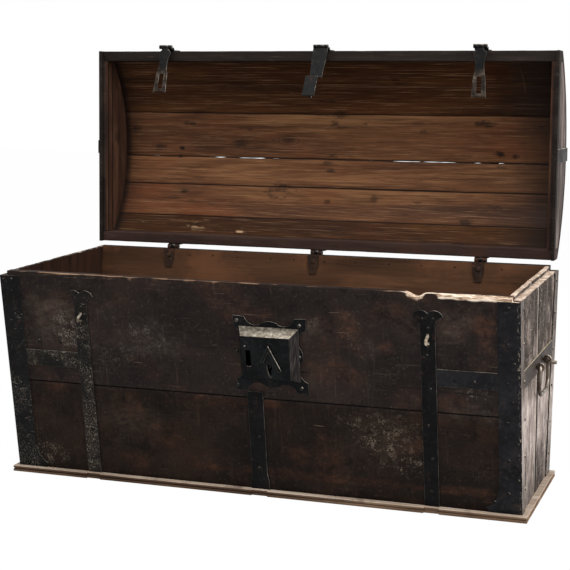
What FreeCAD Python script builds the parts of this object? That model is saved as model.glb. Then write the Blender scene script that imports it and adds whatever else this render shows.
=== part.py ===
import FreeCAD
import Part
import math
import os
import re
from types import SimpleNamespace

from FreeCAD import Placement, Rotation, Vector

# Iron-bound storage chest with leaning front and back walls and a vaulted stave lid.
# Millimetres. The origin is the centre of the underside, X runs along the length, the front is at
# -Y and Z is up. The lid stands open at rest, as such a chest is shown.

SIZES = {
    # Carcass
    "body_length": 1300.0,
    "top_depth": 544.0,
    "bottom_depth": 382.0,
    "wall_height": 519.0,
    "board_thickness": 25.0,
    "end_board_thickness": 28.0,
    "lower_board_height": 234.0,
    "board_gap": 0.6,
    "end_seam_gap": 2.0,
    "end_seam_back": 6.0,
    "ledge_width": 18.0,
    "ledge_drop": 12.0,
    "base_thickness": 15.0,
    "base_projection": 15.0,
    "base_groove": 3.0,
    "strap_notch": 5.0,
    # Ironwork on the carcass
    "iron_thickness": 2.5,
    "corner_leg": 51.0,
    "front_iron_end_leg": 35.0,
    "rear_iron_end_leg": 50.0,
    "foot_reach": 30.0,
    "foot_rise": 60.0,
    "strap_thickness": 3.0,
    "side_strap_width": 36.0,
    "centre_strap_width": 40.0,
    "left_strap_inset": 214.0,
    "right_strap_inset": 210.0,
    "centre_strap_shift": 12.0,
    "fishtail_width": 74.0,
    "fishtail_drop": 41.0,
    "fishtail_height": 40.0,
    "band_width": 42.0,
    "left_band_drop": 204.0,
    "right_band_drop": 181.0,
    "staple_rod": 6.5,
    "staple_height": 34.0,
    "staple_reach": 30.0,
    "staple_drop": 112.0,
    "staple_depth": 18.0,
    # Lock
    "plate_width": 184.0,
    "plate_height": 190.0,
    "plate_thickness": 2.5,
    "plate_ear": 30.0,
    "plate_wave": 19.0,
    "plate_offset": 45.5,
    "plate_drop": 175.0,
    "case_width": 121.0,
    "case_height": 104.0,
    "case_reach": 31.5,
    "case_bevel": 14.5,
    "case_left": 17.0,
    "case_drop": 120.5,
    "case_wall": 2.5,
    "slot_width": 13.0,
    "slot_height": 40.0,
    "slot_drop": 175.0,
    "keyhole_offset": 52.5,
    "keyhole_drop": 195.0,
    "keyhole_radius": 6.5,
    "keyhole_slot": 7.0,
    "keyhole_length": 21.0,
    "hood_thickness": 5.0,
    "hood_bar": 8.0,
    "hood_height": 62.0,
    "bolt_height": 5.0,
    "bolt_thickness": 5.0,
    "bolt_length": 76.0,
    "bolt_travel": 20.0,
    "bolt_depth": 18.0,
    "guide_width": 6.0,
    "guide_wall": 3.0,
    "spring_thickness": 1.2,
    "key_post_radius": 3.0,
    "slide_clearance": 0.3,
    # Hinges
    "hinge_back": 2.0,
    "hinge_rise": 4.0,
    "knuckle_radius": 6.5,
    "hinge_pin_radius": 3.0,
    "hinge_width": 32.0,
    "lid_knuckle_width": 10.0,
    "left_hinge_shift": 18.0,
    "centre_hinge_shift": -10.0,
    "right_hinge_shift": 10.0,
    "leaf_width": 30.0,
    "leaf_tip_width": 18.0,
    "leaf_length": 50.0,
    "leaf_thickness": 2.5,
    "leaf_boss_drop": 16.0,
    "leaf_boss_radius": 10.0,
    "leaf_boss_height": 2.0,
    "running_clearance": 0.05,
    "side_clearance": 0.5,
    "knuckle_clearance": 0.5,
    # Lid
    "lid_open_angle": 91.7,
    "lid_gap": 0.5,
    "lid_inset": 5.5,
    "rail_thickness": 28.0,
    "rail_height": 44.0,
    "lid_rise": 130.0,
    "lid_end_inset": 8.5,
    "lid_end_thickness": 21.0,
    "moulding_height": 24.0,
    "moulding_drop": 10.0,
    "moulding_clearance": 1.0,
    "end_strap_lap": 60.0,
    # Hasps
    "hasp_standoff": 5.0,
    "hasp_axis_drop": 12.0,
    "crank_clearance": 1.0,
    "hasp_knuckle_radius": 5.5,
    "hasp_pin_radius": 2.75,
    "side_hasp_knuckle": 16.0,
    "centre_hasp_knuckle": 18.0,
    "side_hasp_width": 38.0,
    "side_hasp_waist": 23.0,
    "side_hasp_frame": 11.0,
    "hasp_slot_width": 13.0,
    "hasp_slot_play": 4.5,
    "hasp_thickness": 3.0,
    "centre_hasp_top": 40.0,
    "centre_hasp_width": 33.0,
    "centre_hasp_lift": 1.2,
    "centre_hasp_flare": 4.0,
    "catch_rod": 4.0,
    "catch_height": 15.5,
    "catch_drop": 164.5,
    "catch_margin": 2.5,
    "left_hasp_tilt": 22.0,
    "centre_hasp_tilt": 38.0,
    "right_hasp_tilt": 8.0,
    # Handles
    "bail_rod": 9.0,
    "bail_width": 129.0,
    "bail_drop": 74.5,
    "bail_corner": 9.0,
    "bail_bend": 28.0,
    "bail_pin": 17.0,
    "bail_tail": 21.0,
    "eye_rod": 6.0,
    "eye_clearance": 0.08,
    "eye_spacing": 100.0,
    "eye_standoff": 13.6,
    "rove_radius": 8.0,
    "rove_thickness": 2.0,
}
# Where the lid's stave seams lie, as shares of the half depth, front to rear.
STAVE_SEAM_SHARES = (0.746, 0.407, -0.113, -0.440, -0.801)
# Flats round a forged bar.
BAR_SIDES = 8

doc = FreeCAD.newDocument("storage_chest")
sheet = doc.addObject("Spreadsheet::Sheet", "sizes")
for row, (name, number) in enumerate(SIZES.items(), start=1):
    sheet.set("A%d" % row, name)
    sheet.set("B%d" % row, str(number))
    sheet.setAlias("B%d" % row, name)
doc.recompute()
s = SimpleNamespace(**{name: float(sheet.get(name)) for name in SIZES})
nodes = []

X = Vector(1, 0, 0)
Y = Vector(0, 1, 0)
Z = Vector(0, 0, 1)

# Places worked out from the driving sizes
rim_z = s.base_thickness + s.wall_height
slope = (s.top_depth - s.bottom_depth) / 2 / s.wall_height
lean = math.atan(slope)
slope_length = s.wall_height / math.cos(lean)
end_x = s.body_length / 2
hinge_y = s.top_depth / 2 + s.hinge_back
hinge_z = rim_z + s.hinge_rise
lid_z = rim_z + s.lid_gap
strap_places = {
    "left": (s.left_strap_inset - end_x, s.side_strap_width),
    "centre": (s.centre_strap_shift, s.centre_strap_width),
    "right": (end_x - s.right_strap_inset, s.side_strap_width),
}
hinge_places = {
    "left": strap_places["left"][0] + s.left_hinge_shift,
    "centre": strap_places["centre"][0] + s.centre_hinge_shift,
    "right": strap_places["right"][0] + s.right_hinge_shift,
}

# The same places as expressions on the sheet
RIM = "base_thickness + wall_height"
SLOPE = "(top_depth - bottom_depth) / 2 / wall_height"
ACROSS = "board_thickness / cos(atan(" + SLOPE + "))"


def on_sheet(expression):
    """The expression with each size's alias read from the sheet."""
    names = lambda found: "sizes." + found.group(0) if found.group(0) in SIZES else found.group(0)
    return re.sub(r"[a-z][a-z_]+", names, expression)


def half_depth(height):
    """Expression for half the chest's depth at a height above the base."""
    return "(bottom_depth / 2 + (" + height + ") * " + SLOPE + ")"


def feature(kind, label, **bindings):
    """A document object whose properties are bound to the sheet."""
    made = doc.addObject(kind, label)
    for name, expression in bindings.items():
        made.setExpression(name.replace("__", "."), on_sheet(expression))
    return made


def box(label, x, y, z):
    """A block given by its low and high expressions along each axis."""
    return feature(
        "Part::Box",
        label,
        Length="(%s) - (%s)" % (x[1], x[0]),
        Width="(%s) - (%s)" % (y[1], y[0]),
        Height="(%s) - (%s)" % (z[1], z[0]),
        Placement__Base__x=x[0],
        Placement__Base__y=y[0],
        Placement__Base__z=z[0],
    )


def wedge(label, x, low, high, z):
    """An upright block whose Y extent goes from low at its foot to high at its top."""
    made = doc.addObject("Part::Wedge", label)
    made.Placement = Placement(Vector(), Rotation(X, 90))
    extents = {
        "Xmin": x[0],
        "Xmax": x[1],
        "X2min": x[0],
        "X2max": x[1],
        "Ymin": z[0],
        "Ymax": z[1],
        "Zmin": "-(%s)" % low[1],
        "Zmax": "-(%s)" % low[0],
        "Z2min": "-(%s)" % high[1],
        "Z2max": "-(%s)" % high[0],
    }
    for name, expression in extents.items():
        made.setExpression(name, on_sheet(expression))
    return made


def solid(label, shape, placement=None):
    """A sub-part whose shape is worked out from the sheet's sizes."""
    made = doc.addObject("Part::Feature", label)
    made.Shape = shape
    made.Placement = (placement or Placement()) * shape.Placement
    return made


def cut(label, base, *tools):
    """Base less one or more tools."""
    tool = tools[0]
    if len(tools) > 1:
        tool = doc.addObject("Part::MultiFuse", label + "_tools")
        tool.Shapes = list(tools)
    made = doc.addObject("Part::Cut", label)
    made.Base = base
    made.Tool = tool
    return made


def fuse(label, *parts):
    """Several shapes joined into one piece."""
    made = doc.addObject("Part::MultiFuse", label)
    made.Shapes = list(parts)
    made.Refine = True
    return made


def node(made):
    """Keep a finished sub-part for export."""
    nodes.append(made)
    return made


def front_face(standoff=0.0):
    """Placement on the leaning front: x along the length, y up the slope from the rim, z outward."""
    base = Vector(
        0,
        -s.top_depth / 2 - standoff * math.cos(lean),
        rim_z - standoff * math.sin(lean),
    )
    return Placement(base, Rotation(X, 90 + math.degrees(lean)))


def back_face():
    """The same on the back, with x running the other way."""
    return Placement(Vector(), Rotation(Z, 180)) * front_face()


def plate(edges, thickness):
    """A flat plate in the XY plane from a closed list of edges."""
    return Part.Face(Part.Wire(edges)).extrude(Vector(0, 0, thickness))


def polygon(points):
    """Edges of a closed polygon."""
    corners = [Vector(*point) for point in points]
    return [Part.makeLine(a, b) for a, b in zip(corners, corners[1:] + corners[:1])]


def arc(start, middle, end):
    """An arc edge through three points."""
    return Part.Arc(Vector(*start), Vector(*middle), Vector(*end)).toShape()


def block(low, high):
    """A plain block between two corners."""
    low = Vector(*low)
    return Part.makeBox(high[0] - low.x, high[1] - low.y, high[2] - low.z, low)


def section(points, low_x, high_x):
    """A prism along X whose section is a polygon in Y and Z."""
    edges = polygon([(low_x, y, z) for y, z in points])
    return Part.Face(Part.Wire(edges)).extrude(Vector(high_x - low_x, 0, 0))


def bar_face(radius, centre, direction):
    """The eight-sided section of a forged bar, square to a direction."""
    direction = Vector(direction).normalize()
    side = direction.cross(X)
    if side.Length < abs(direction.x):
        side = direction.cross(Y)
    side = side.normalize()
    turns = [Rotation(direction, 360 * (count + 1 / 2) / BAR_SIDES) for count in range(BAR_SIDES)]
    return Part.Wire(polygon([centre + turn.multVec(side * radius) for turn in turns]))


def rod(points, radius, corner):
    """A forged bar along points, with its corners bent to a radius, one for each inner point."""
    points = [Vector(*point) for point in points]
    edges = []
    start = points[0]
    for before, bend, after, bend_radius in zip(points, points[1:], points[2:], corner):
        inward = (before - bend).normalize()
        outward = (after - bend).normalize()
        turn = inward.getAngle(outward)
        reach = bend_radius / math.tan(turn / 2)
        first = bend + inward * reach
        last = bend + outward * reach
        middle_way = (inward + outward).normalize()
        centre = bend + middle_way * (bend_radius / math.sin(turn / 2))
        edges.append(Part.makeLine(start, first))
        edges.append(Part.Arc(first, centre - middle_way * bend_radius, last).toShape())
        start = last
    edges.append(Part.makeLine(start, points[-1]))
    path = Part.Wire(edges)
    profile = bar_face(radius, points[0], points[1] - points[0])
    return path.makePipeShell([profile], True, False)


# Carcass boards


def wall_board(label, side, low, high):
    """A front (side -1) or back (side 1) board between two heights above the base."""
    outer_low = half_depth(low)
    outer_high = half_depth(high)
    inner_low = "(%s - %s)" % (outer_low, ACROSS)
    inner_high = "(%s - %s)" % (outer_high, ACROSS)
    if side < 0:
        y_low = ("-" + outer_low, "-" + inner_low)
        y_high = ("-" + outer_high, "-" + inner_high)
    else:
        y_low = (inner_low, outer_low)
        y_high = (inner_high, outer_high)
    along = ("-body_length / 2", "body_length / 2")
    height = ("base_thickness + " + low, "base_thickness + " + high)
    return wedge(label, along, y_low, y_high, height)


def ledge(label, side):
    """The rebate along the top of an end, on side -1 or 1, that the lid's moulding drops into."""
    x = ("body_length / 2 - ledge_width", "body_length / 2 + ledge_width")
    if side < 0:
        x = ("-(%s)" % x[1], "-(%s)" % x[0])
    return box(label, x, ("-top_depth", "top_depth"), (RIM + " - ledge_drop", RIM + " + ledge_drop"))


def end_board(label, side, part):
    """One of an end's two upright boards: part -1 is the front one and 1 the rear one."""
    x = ("body_length / 2 - end_board_thickness", "body_length / 2")
    if side < 0:
        x = ("-(%s)" % x[1], "-(%s)" % x[0])
    low = "(%s - %s)" % (half_depth("0"), ACROSS)
    high = "(%s - %s)" % (half_depth("wall_height"), ACROSS)
    if part < 0:
        seam = "-end_seam_back - end_seam_gap / 2"
        y_low = ("-" + low, seam)
        y_high = ("-" + high, seam)
    else:
        seam = "-end_seam_back + end_seam_gap / 2"
        y_low = (seam, low)
        y_high = (seam, high)
    board = wedge(label + "_blank", x, y_low, y_high, ("base_thickness", RIM))
    eye = solid(label + "_eye_hole", eye_shank(side, part))
    return node(cut(label, board, ledge(label + "_ledge", side), eye))


def eye_height(side):
    """Height of the handle's eyes, at the middle of the end band."""
    drop = s.left_band_drop if side < 0 else s.right_band_drop
    return rim_z - (drop + s.band_width / 2) * math.cos(lean)


def eye_shank(side, part):
    """The split shank of a handle eye, from its ring to the inside of the end board."""
    inner = end_x - s.end_board_thickness - s.rove_thickness
    start = Vector(side * inner, part * s.eye_spacing / 2, eye_height(side))
    length = end_x + s.eye_standoff - s.bail_rod / 2 - s.eye_rod / 2 - inner
    return Part.makeCylinder(s.eye_rod / 2, length, start, Vector(side, 0, 0))


def staple_path(drop):
    """Centre line of a padlock staple in a front face frame, driven in at its two ends."""
    half = (s.staple_height - s.staple_rod) / 2
    inside = s.strap_thickness - s.staple_depth
    outside = s.staple_reach - s.staple_rod / 2
    high = -drop + half
    low = -drop - half
    return [(0, high, inside), (0, high, outside), (0, low, outside), (0, low, inside)]


def staple(x):
    """A padlock staple, on the front at x."""
    half = (s.staple_height - s.staple_rod) / 2
    corner = half * 0.98
    shape = rod(staple_path(s.staple_drop), s.staple_rod / 2, (corner, corner))
    shape.translate(Vector(x, 0, 0))
    return shape


def hinge_notch(x):
    """Room for the knuckles and the leaf where the back wall's top edge is let in."""
    width = s.hinge_width + 2 * s.side_clearance
    knuckles = Part.makeCylinder(
        s.knuckle_radius + s.knuckle_clearance,
        width,
        Vector(x - width / 2, hinge_y, hinge_z),
        X,
    )
    inner_y = s.top_depth / 2 - s.board_thickness / math.cos(lean)
    low = (x - s.hinge_width / 2, inner_y - s.leaf_thickness, rim_z - s.leaf_thickness)
    bed = block(low, (x + s.hinge_width / 2, hinge_y, rim_z + s.leaf_thickness))
    return knuckles.fuse(bed)


node(wall_board("front_board_lower", -1, "0", "lower_board_height"))
front_upper = wall_board("front_board_upper_blank", -1, "lower_board_height + board_gap", "wall_height")
back_upper = wall_board("back_board_upper_blank", 1, "lower_board_height + board_gap", "wall_height")
node(wall_board("back_board_lower", 1, "0", "lower_board_height"))
staple_holes = [
    solid("staple_hole_" + name, staple(strap_places[name][0]), front_face()) for name in ("left", "right")
]
node(
    cut(
        "front_board_upper",
        front_upper,
        ledge("front_ledge_left", -1),
        ledge("front_ledge_right", 1),
        *staple_holes
    )
)
hinge_notches = [solid("hinge_notch_" + name, hinge_notch(x)) for name, x in hinge_places.items()]
node(
    cut(
        "back_board_upper",
        back_upper,
        ledge("back_ledge_left", -1),
        ledge("back_ledge_right", 1),
        *hinge_notches
    )
)
for side, side_name in ((-1, "left"), (1, "right")):
    end_board(side_name + "_end_board_front", side, -1)
    end_board(side_name + "_end_board_rear", side, 1)

# Base


def base_board(label, low_y, high_y, front):
    """One of the bottom's two boards, with its grooved edge and, in front, the strap notches."""
    low_x = -end_x - s.base_projection
    shape = block((low_x, low_y, 0), (-low_x, high_y, s.base_thickness))
    middle = s.base_thickness / 2
    half = s.base_groove / 2
    for side in (-1, 1):
        edge = side * low_x
        points = [(edge, 0, middle - half), (edge + side * s.base_groove, 0, middle), (edge, 0, middle + half)]
        groove = Part.Face(Part.Wire(polygon(points))).extrude(Vector(0, high_y - low_y, 0))
        groove.translate(Vector(0, low_y, 0))
        shape = shape.cut(groove)
    edge = low_y if front else high_y
    deep = s.base_groove if front else -s.base_groove
    groove = section([(edge, middle - half), (edge + deep, middle), (edge, middle + half)], low_x, -low_x)
    shape = shape.cut(groove)
    if front:
        for x, width in strap_places.values():
            low = (x - width / 2, low_y, 0)
            shape = shape.cut(block(low, (x + width / 2, low_y + s.strap_notch, s.base_thickness)))
    return node(solid(label, shape))


base_half = s.bottom_depth / 2 + s.base_projection
base_board("base_board_front", -base_half, -s.board_gap / 2, True)
base_board("base_board_rear", s.board_gap / 2, base_half, False)

# Corner irons


def corner_iron(label, side, end_leg, rear):
    """An angle iron on a leaning corner, with a pointed foot on the leaning face."""
    top = -s.ledge_drop / math.cos(lean)
    foot = -slope_length
    outer = end_x + s.iron_thickness
    inner = end_x - s.corner_leg
    points = [
        (side * outer, top, 0),
        (side * inner, top, 0),
        (side * inner, foot + s.foot_rise, 0),
        (side * (inner - s.foot_reach / 3), foot + s.foot_rise * 0.45, 0),
        (side * (inner - s.foot_reach), foot + s.foot_rise * 0.2, 0),
        (side * (inner - s.foot_reach * 0.7), foot, 0),
        (side * outer, foot, 0),
    ]
    leaf = plate(polygon(points), s.iron_thickness)
    leaf.Placement = front_face()
    low_y = s.bottom_depth / 2
    high_z = rim_z - s.ledge_drop
    high_y = s.top_depth / 2 - s.ledge_drop * slope
    back = s.iron_thickness / math.cos(lean)
    points = [
        (-low_y - back, s.base_thickness),
        (-low_y + end_leg, s.base_thickness),
        (-high_y + end_leg, high_z),
        (-high_y - back, high_z),
    ]
    leg = section(points, side * end_x, side * outer)
    keep = block((-outer, -s.top_depth, s.base_thickness), (outer, s.top_depth, high_z))
    shape = leaf.fuse(leg).common(keep).removeSplitter()
    placement = Placement(Vector(), Rotation(Z, 180)) if rear else Placement()
    return node(solid(label, shape, placement))


corner_iron("corner_iron_front_left", -1, s.front_iron_end_leg, False)
corner_iron("corner_iron_front_right", 1, s.front_iron_end_leg, False)
corner_iron("corner_iron_rear_left", 1, s.rear_iron_end_leg, True)
corner_iron("corner_iron_rear_right", -1, s.rear_iron_end_leg, True)

# Straps and bands on the walls


def side_strap(label, x, width):
    """An upright strap with a two-lobed fishtail top, drilled for its staple."""
    half = width / 2
    tip = s.fishtail_width / 2
    lobe = -s.fishtail_drop
    tip_y = lobe - s.fishtail_height * 0.4
    notch_y = lobe - s.fishtail_height * 0.18
    neck_y = lobe - s.fishtail_height
    foot = -slope_length + s.strap_thickness * slope
    neck_middle = (half * 1.22, neck_y + s.fishtail_height * 0.36)
    lobe_middle = (tip * 0.5, lobe)
    edges = [
        Part.makeLine(Vector(-half, neck_y, 0), Vector(-half, foot, 0)),
        Part.makeLine(Vector(-half, foot, 0), Vector(half, foot, 0)),
        Part.makeLine(Vector(half, foot, 0), Vector(half, neck_y, 0)),
        arc((half, neck_y, 0), neck_middle + (0,), (tip, tip_y, 0)),
        arc((tip, tip_y, 0), lobe_middle + (0,), (0, notch_y, 0)),
        arc((0, notch_y, 0), (-lobe_middle[0], lobe_middle[1], 0), (-tip, tip_y, 0)),
        arc((-tip, tip_y, 0), (-neck_middle[0], neck_middle[1], 0), (-half, neck_y, 0)),
    ]
    shape = plate(edges, s.strap_thickness)
    shape.translate(Vector(x, 0, 0))
    return node(solid(label, shape.cut(staple(x)), front_face()))


def centre_strap(label, x, width):
    """The strap below the lock plate, a little wider at its foot."""
    top = -s.plate_drop - s.plate_height / 2 - s.board_gap
    foot = -slope_length + s.strap_thickness * slope
    half = width / 2
    wide = half * 1.2
    points = [
        (-half, top, 0),
        (-half, foot + width, 0),
        (-wide, foot + half, 0),
        (-wide, foot, 0),
        (wide, foot, 0),
        (wide, foot + half, 0),
        (half, foot + width, 0),
        (half, top, 0),
    ]
    shape = plate(polygon(points), s.strap_thickness)
    shape.translate(Vector(x, 0, 0))
    return node(solid(label, shape, front_face()))


side_strap("front_strap_left", *strap_places["left"])
centre_strap("front_strap_centre", *strap_places["centre"])
side_strap("front_strap_right", *strap_places["right"])


def front_band(label, low_x, high_x, drop):
    """A level band on the front between a side strap and a corner iron."""
    low = (low_x + s.board_gap, -drop - s.band_width, 0)
    shape = block(low, (high_x - s.board_gap, -drop, s.iron_thickness))
    return node(solid(label, shape, front_face()))


def end_band(label, side, drop):
    """The band's run across an end, between the two corner irons."""
    top = rim_z - drop * math.cos(lean)
    bottom = top - s.band_width * math.cos(lean)
    at = lambda height: s.bottom_depth / 2 + (height - s.base_thickness) * slope
    front = lambda height: (-at(height) + s.front_iron_end_leg + s.board_gap, height)
    rear = lambda height: (at(height) - s.rear_iron_end_leg - s.board_gap, height)
    points = [front(bottom), rear(bottom), rear(top), front(top)]
    shape = section(points, side * end_x, side * (end_x + s.iron_thickness))
    for part in (-1, 1):
        shape = shape.cut(eye_shank(side, part))
    return node(solid(label, shape))


half_strap = s.side_strap_width / 2
iron_edge = end_x - s.corner_leg
front_band("front_band_left", -iron_edge, strap_places["left"][0] - half_strap, s.left_band_drop)
front_band("front_band_right", strap_places["right"][0] + half_strap, iron_edge, s.right_band_drop)
end_band("end_band_left", -1, s.left_band_drop)
end_band("end_band_right", 1, s.right_band_drop)
for name in ("left", "right"):
    node(solid("staple_" + name, staple(strap_places[name][0]), front_face()))

# Lock: plate, hollow case with two sloped sides, hood over the keyhole, and the works inside


def scalloped_side(half_along, half_across):
    """One side of the lock plate, left to right: a corner ear, a dip, a lobe, a dip and an ear."""
    wave = s.plate_wave
    ear = (half_along - s.plate_ear, half_across - wave * 0.1)
    dip = (half_along - s.plate_ear - wave * 1.6, half_across - wave * 1.15)
    lobe = (wave, half_across - wave * 0.85)
    right = [
        arc(lobe, dip, ear),
        Part.makeLine(Vector(*ear), Vector(half_along, half_across)),
    ]
    left = [edge.mirror(Vector(), X) for edge in reversed(right)]
    crown = arc((-lobe[0], lobe[1]), (0, half_across - wave * 0.6), lobe)
    return left + [crown] + right


def lock_plate():
    """The wavy-edged plate, centred on its own origin."""
    wide = s.plate_width / 2
    tall = s.plate_height / 2
    edges = []
    for turn, (along, across) in enumerate(((wide, tall), (tall, wide), (wide, tall), (tall, wide))):
        for edge in scalloped_side(along, across):
            edge.rotate(Vector(), Z, -90 * turn)
            edges.append(edge)
    return plate(Part.sortEdges(edges)[0], s.plate_thickness)


def case_block(inset, low_z, high_z):
    """The case's four-sided block less an inset, between two distances from the plate."""
    left = slot_x - s.case_left + inset
    right = slot_x - s.case_left + s.case_width - inset
    top = -s.case_drop - inset
    bottom = -s.case_drop - s.case_height + inset

    def ring(height):
        out = s.case_bevel * (s.case_reach - height) / s.case_reach
        points = [
            (left - out, bottom - out, height),
            (right + out, bottom - out, height),
            (right + out, top + out, height),
            (left - out, top + out, height),
        ]
        return Part.Wire(polygon(points))

    return Part.makeLoft([ring(low_z), ring(high_z)], True, True)


slot_x = s.centre_strap_shift
key_x = slot_x + s.keyhole_offset
plate_x = slot_x + s.plate_offset
shape = lock_plate()
shape.translate(Vector(plate_x, -s.plate_drop, 0))
node(solid("lock_plate", shape, front_face()))

case_outer = case_block(0, 0, s.case_reach)
case_inner = case_block(s.case_wall, -s.case_wall, s.case_reach - s.case_wall)
through = 2 * s.case_reach
slot = block(
    (slot_x - s.slot_width / 2, -s.slot_drop - s.slot_height / 2, 0),
    (slot_x + s.slot_width / 2, -s.slot_drop + s.slot_height / 2, through),
)
keyhole = Part.makeCylinder(s.keyhole_radius, through, Vector(key_x, -s.keyhole_drop, 0))
keyhole = keyhole.fuse(
    block(
        (key_x - s.keyhole_slot / 2, -s.keyhole_drop - s.keyhole_length, 0),
        (key_x + s.keyhole_slot / 2, -s.keyhole_drop, through),
    )
)
shape = case_outer.cut(case_inner).cut(slot).cut(keyhole)
node(solid("lock_case", shape, front_face(s.plate_thickness)))

case_front = s.plate_thickness + s.case_reach
hood_foot = -s.keyhole_drop - s.keyhole_radius
hood_top = hood_foot + s.hood_height
hood_left = (key_x - s.hood_height * 0.35, hood_top - s.hood_height * 0.66)
hood_right = (key_x + s.hood_height * 0.5, hood_foot)
bar = s.hood_bar
points = [
    (hood_left[0], hood_left[1], 0),
    (key_x, hood_top, 0),
    (hood_right[0], hood_right[1], 0),
    (hood_right[0] - bar, hood_right[1] - bar / 3, 0),
    (key_x, hood_top - 2 * bar, 0),
    (hood_left[0] + bar, hood_left[1] - bar / 3, 0),
]
node(solid("keyhole_hood", plate(polygon(points), s.hood_thickness), front_face(case_front)))

bolt_low = s.bolt_depth - s.bolt_thickness / 2
bolt_high = s.bolt_depth + s.bolt_thickness / 2
bolt_tip = slot_x + s.slot_width / 2 + s.slide_clearance
bolt_y = -s.catch_drop
bolt_half = s.bolt_height / 2
shape = block(
    (bolt_tip, bolt_y - bolt_half, bolt_low),
    (bolt_tip + s.bolt_length, bolt_y + bolt_half, bolt_high),
)
talon_at = Vector(key_x, bolt_y - bolt_half - s.keyhole_radius / 2, bolt_low)
talon = Part.makeCylinder(s.keyhole_radius, s.bolt_thickness, talon_at)
node(solid("lock_bolt", shape.cut(talon), front_face(s.plate_thickness)))


def bolt_guide(x):
    """A staple-like guide that the bolt slides through."""
    gap = s.slide_clearance
    hole = block(
        (x - s.guide_width, bolt_y - bolt_half - gap, bolt_low - gap),
        (x + s.guide_width, bolt_y + bolt_half + gap, bolt_high + gap),
    )
    outer = block(
        (x - s.guide_width / 2, bolt_y - bolt_half - gap - s.guide_wall, 0),
        (x + s.guide_width / 2, bolt_y + bolt_half + gap + s.guide_wall, bolt_high + gap + s.guide_wall),
    )
    return outer.cut(hole)


guide_places = (bolt_tip + s.bolt_length * 0.2, bolt_tip + s.bolt_length * 0.9)
shape = Part.makeCompound([bolt_guide(x) for x in guide_places])
node(solid("lock_bolt_guides", shape, front_face(s.plate_thickness)))

spring_low = guide_places[0] + s.guide_width / 2
spring_high = guide_places[1] - s.guide_width / 2
spring_y = bolt_y + bolt_half + s.slide_clearance
spring_middle = (spring_low + spring_high) / 2
rise = s.guide_wall
outer = arc(
    (spring_low, spring_y + rise, 0),
    (spring_middle, spring_y + s.spring_thickness, 0),
    (spring_high, spring_y + rise, 0),
)
inner = arc(
    (spring_low, spring_y + rise - s.spring_thickness, 0),
    (spring_middle, spring_y, 0),
    (spring_high, spring_y + rise - s.spring_thickness, 0),
)
sides = [
    Part.makeLine(Vector(x, spring_y + rise - s.spring_thickness, 0), Vector(x, spring_y + rise, 0))
    for x in (spring_low, spring_high)
]
shape = plate(Part.sortEdges([outer, inner] + sides)[0], s.bolt_thickness)
shape.translate(Vector(0, 0, bolt_low))
node(solid("lock_spring", shape, front_face(s.plate_thickness)))
shape = Part.makeCylinder(s.key_post_radius, s.case_reach - s.case_wall, Vector(key_x, -s.keyhole_drop, 0))
node(solid("lock_key_post", shape, front_face(s.plate_thickness)))

# Hinges: each leaf is bent over the back wall and down its inner face, and holds its pin


def knuckle(centre_y, centre_z, radius, bore, low_x, high_x):
    """A ring along X round a pin axis."""
    start = Vector(low_x, centre_y, centre_z)
    ring = Part.makeCylinder(radius, high_x - low_x, start, X)
    if not bore:
        return ring
    return ring.cut(Part.makeCylinder(bore, high_x - low_x, start, X))


def hinge_leaf(x):
    """The body's half of a hinge, with two knuckles and the pin that it holds."""
    half = s.hinge_width / 2
    gap = s.lid_knuckle_width / 2 + s.side_clearance
    inner_y = s.top_depth / 2 - s.board_thickness / math.cos(lean)
    low_z = rim_z - s.leaf_thickness
    top = block((x - half, inner_y - s.leaf_thickness * slope, low_z), (x + half, hinge_y, rim_z))
    top = top.cut(knuckle(hinge_y, hinge_z, s.knuckle_radius + s.knuckle_clearance, 0, x - gap, x + gap))
    down = Vector(0, -math.sin(lean), -math.cos(lean))
    off = Vector(0, -math.cos(lean), math.sin(lean))
    start = Vector(x, inner_y, rim_z)
    wide = s.leaf_width / 2
    tip = s.leaf_tip_width / 2
    ends = [(wide, 0), (wide, s.leaf_length / 2), (tip, s.leaf_length)]
    outline = [start + X * side + down * fall for side, fall in ends]
    outline += [start - X * side + down * fall for side, fall in reversed(ends)]
    tail = Part.Face(Part.makePolygon(outline + outline[:1])).extrude(off * s.leaf_thickness)
    boss_height = s.leaf_thickness + s.leaf_boss_height
    boss_axis = start + down * s.leaf_boss_drop
    boss = Part.makeCone(s.leaf_boss_radius, s.leaf_boss_radius / 2, boss_height, boss_axis, off)
    shape = top.fuse([tail, boss])
    for low, high in ((x - half, x - gap), (x + gap, x + half)):
        shape = shape.fuse(knuckle(hinge_y, hinge_z, s.knuckle_radius, 0, low, high))
    pin = Part.makeCylinder(s.hinge_pin_radius, s.hinge_width, Vector(x - half, hinge_y, hinge_z), X)
    return shape.fuse(pin).removeSplitter()


for name, x in hinge_places.items():
    node(solid("hinge_leaf_" + name, hinge_leaf(x)))

# Handles: a bail on each end, hanging in two eyes


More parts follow.
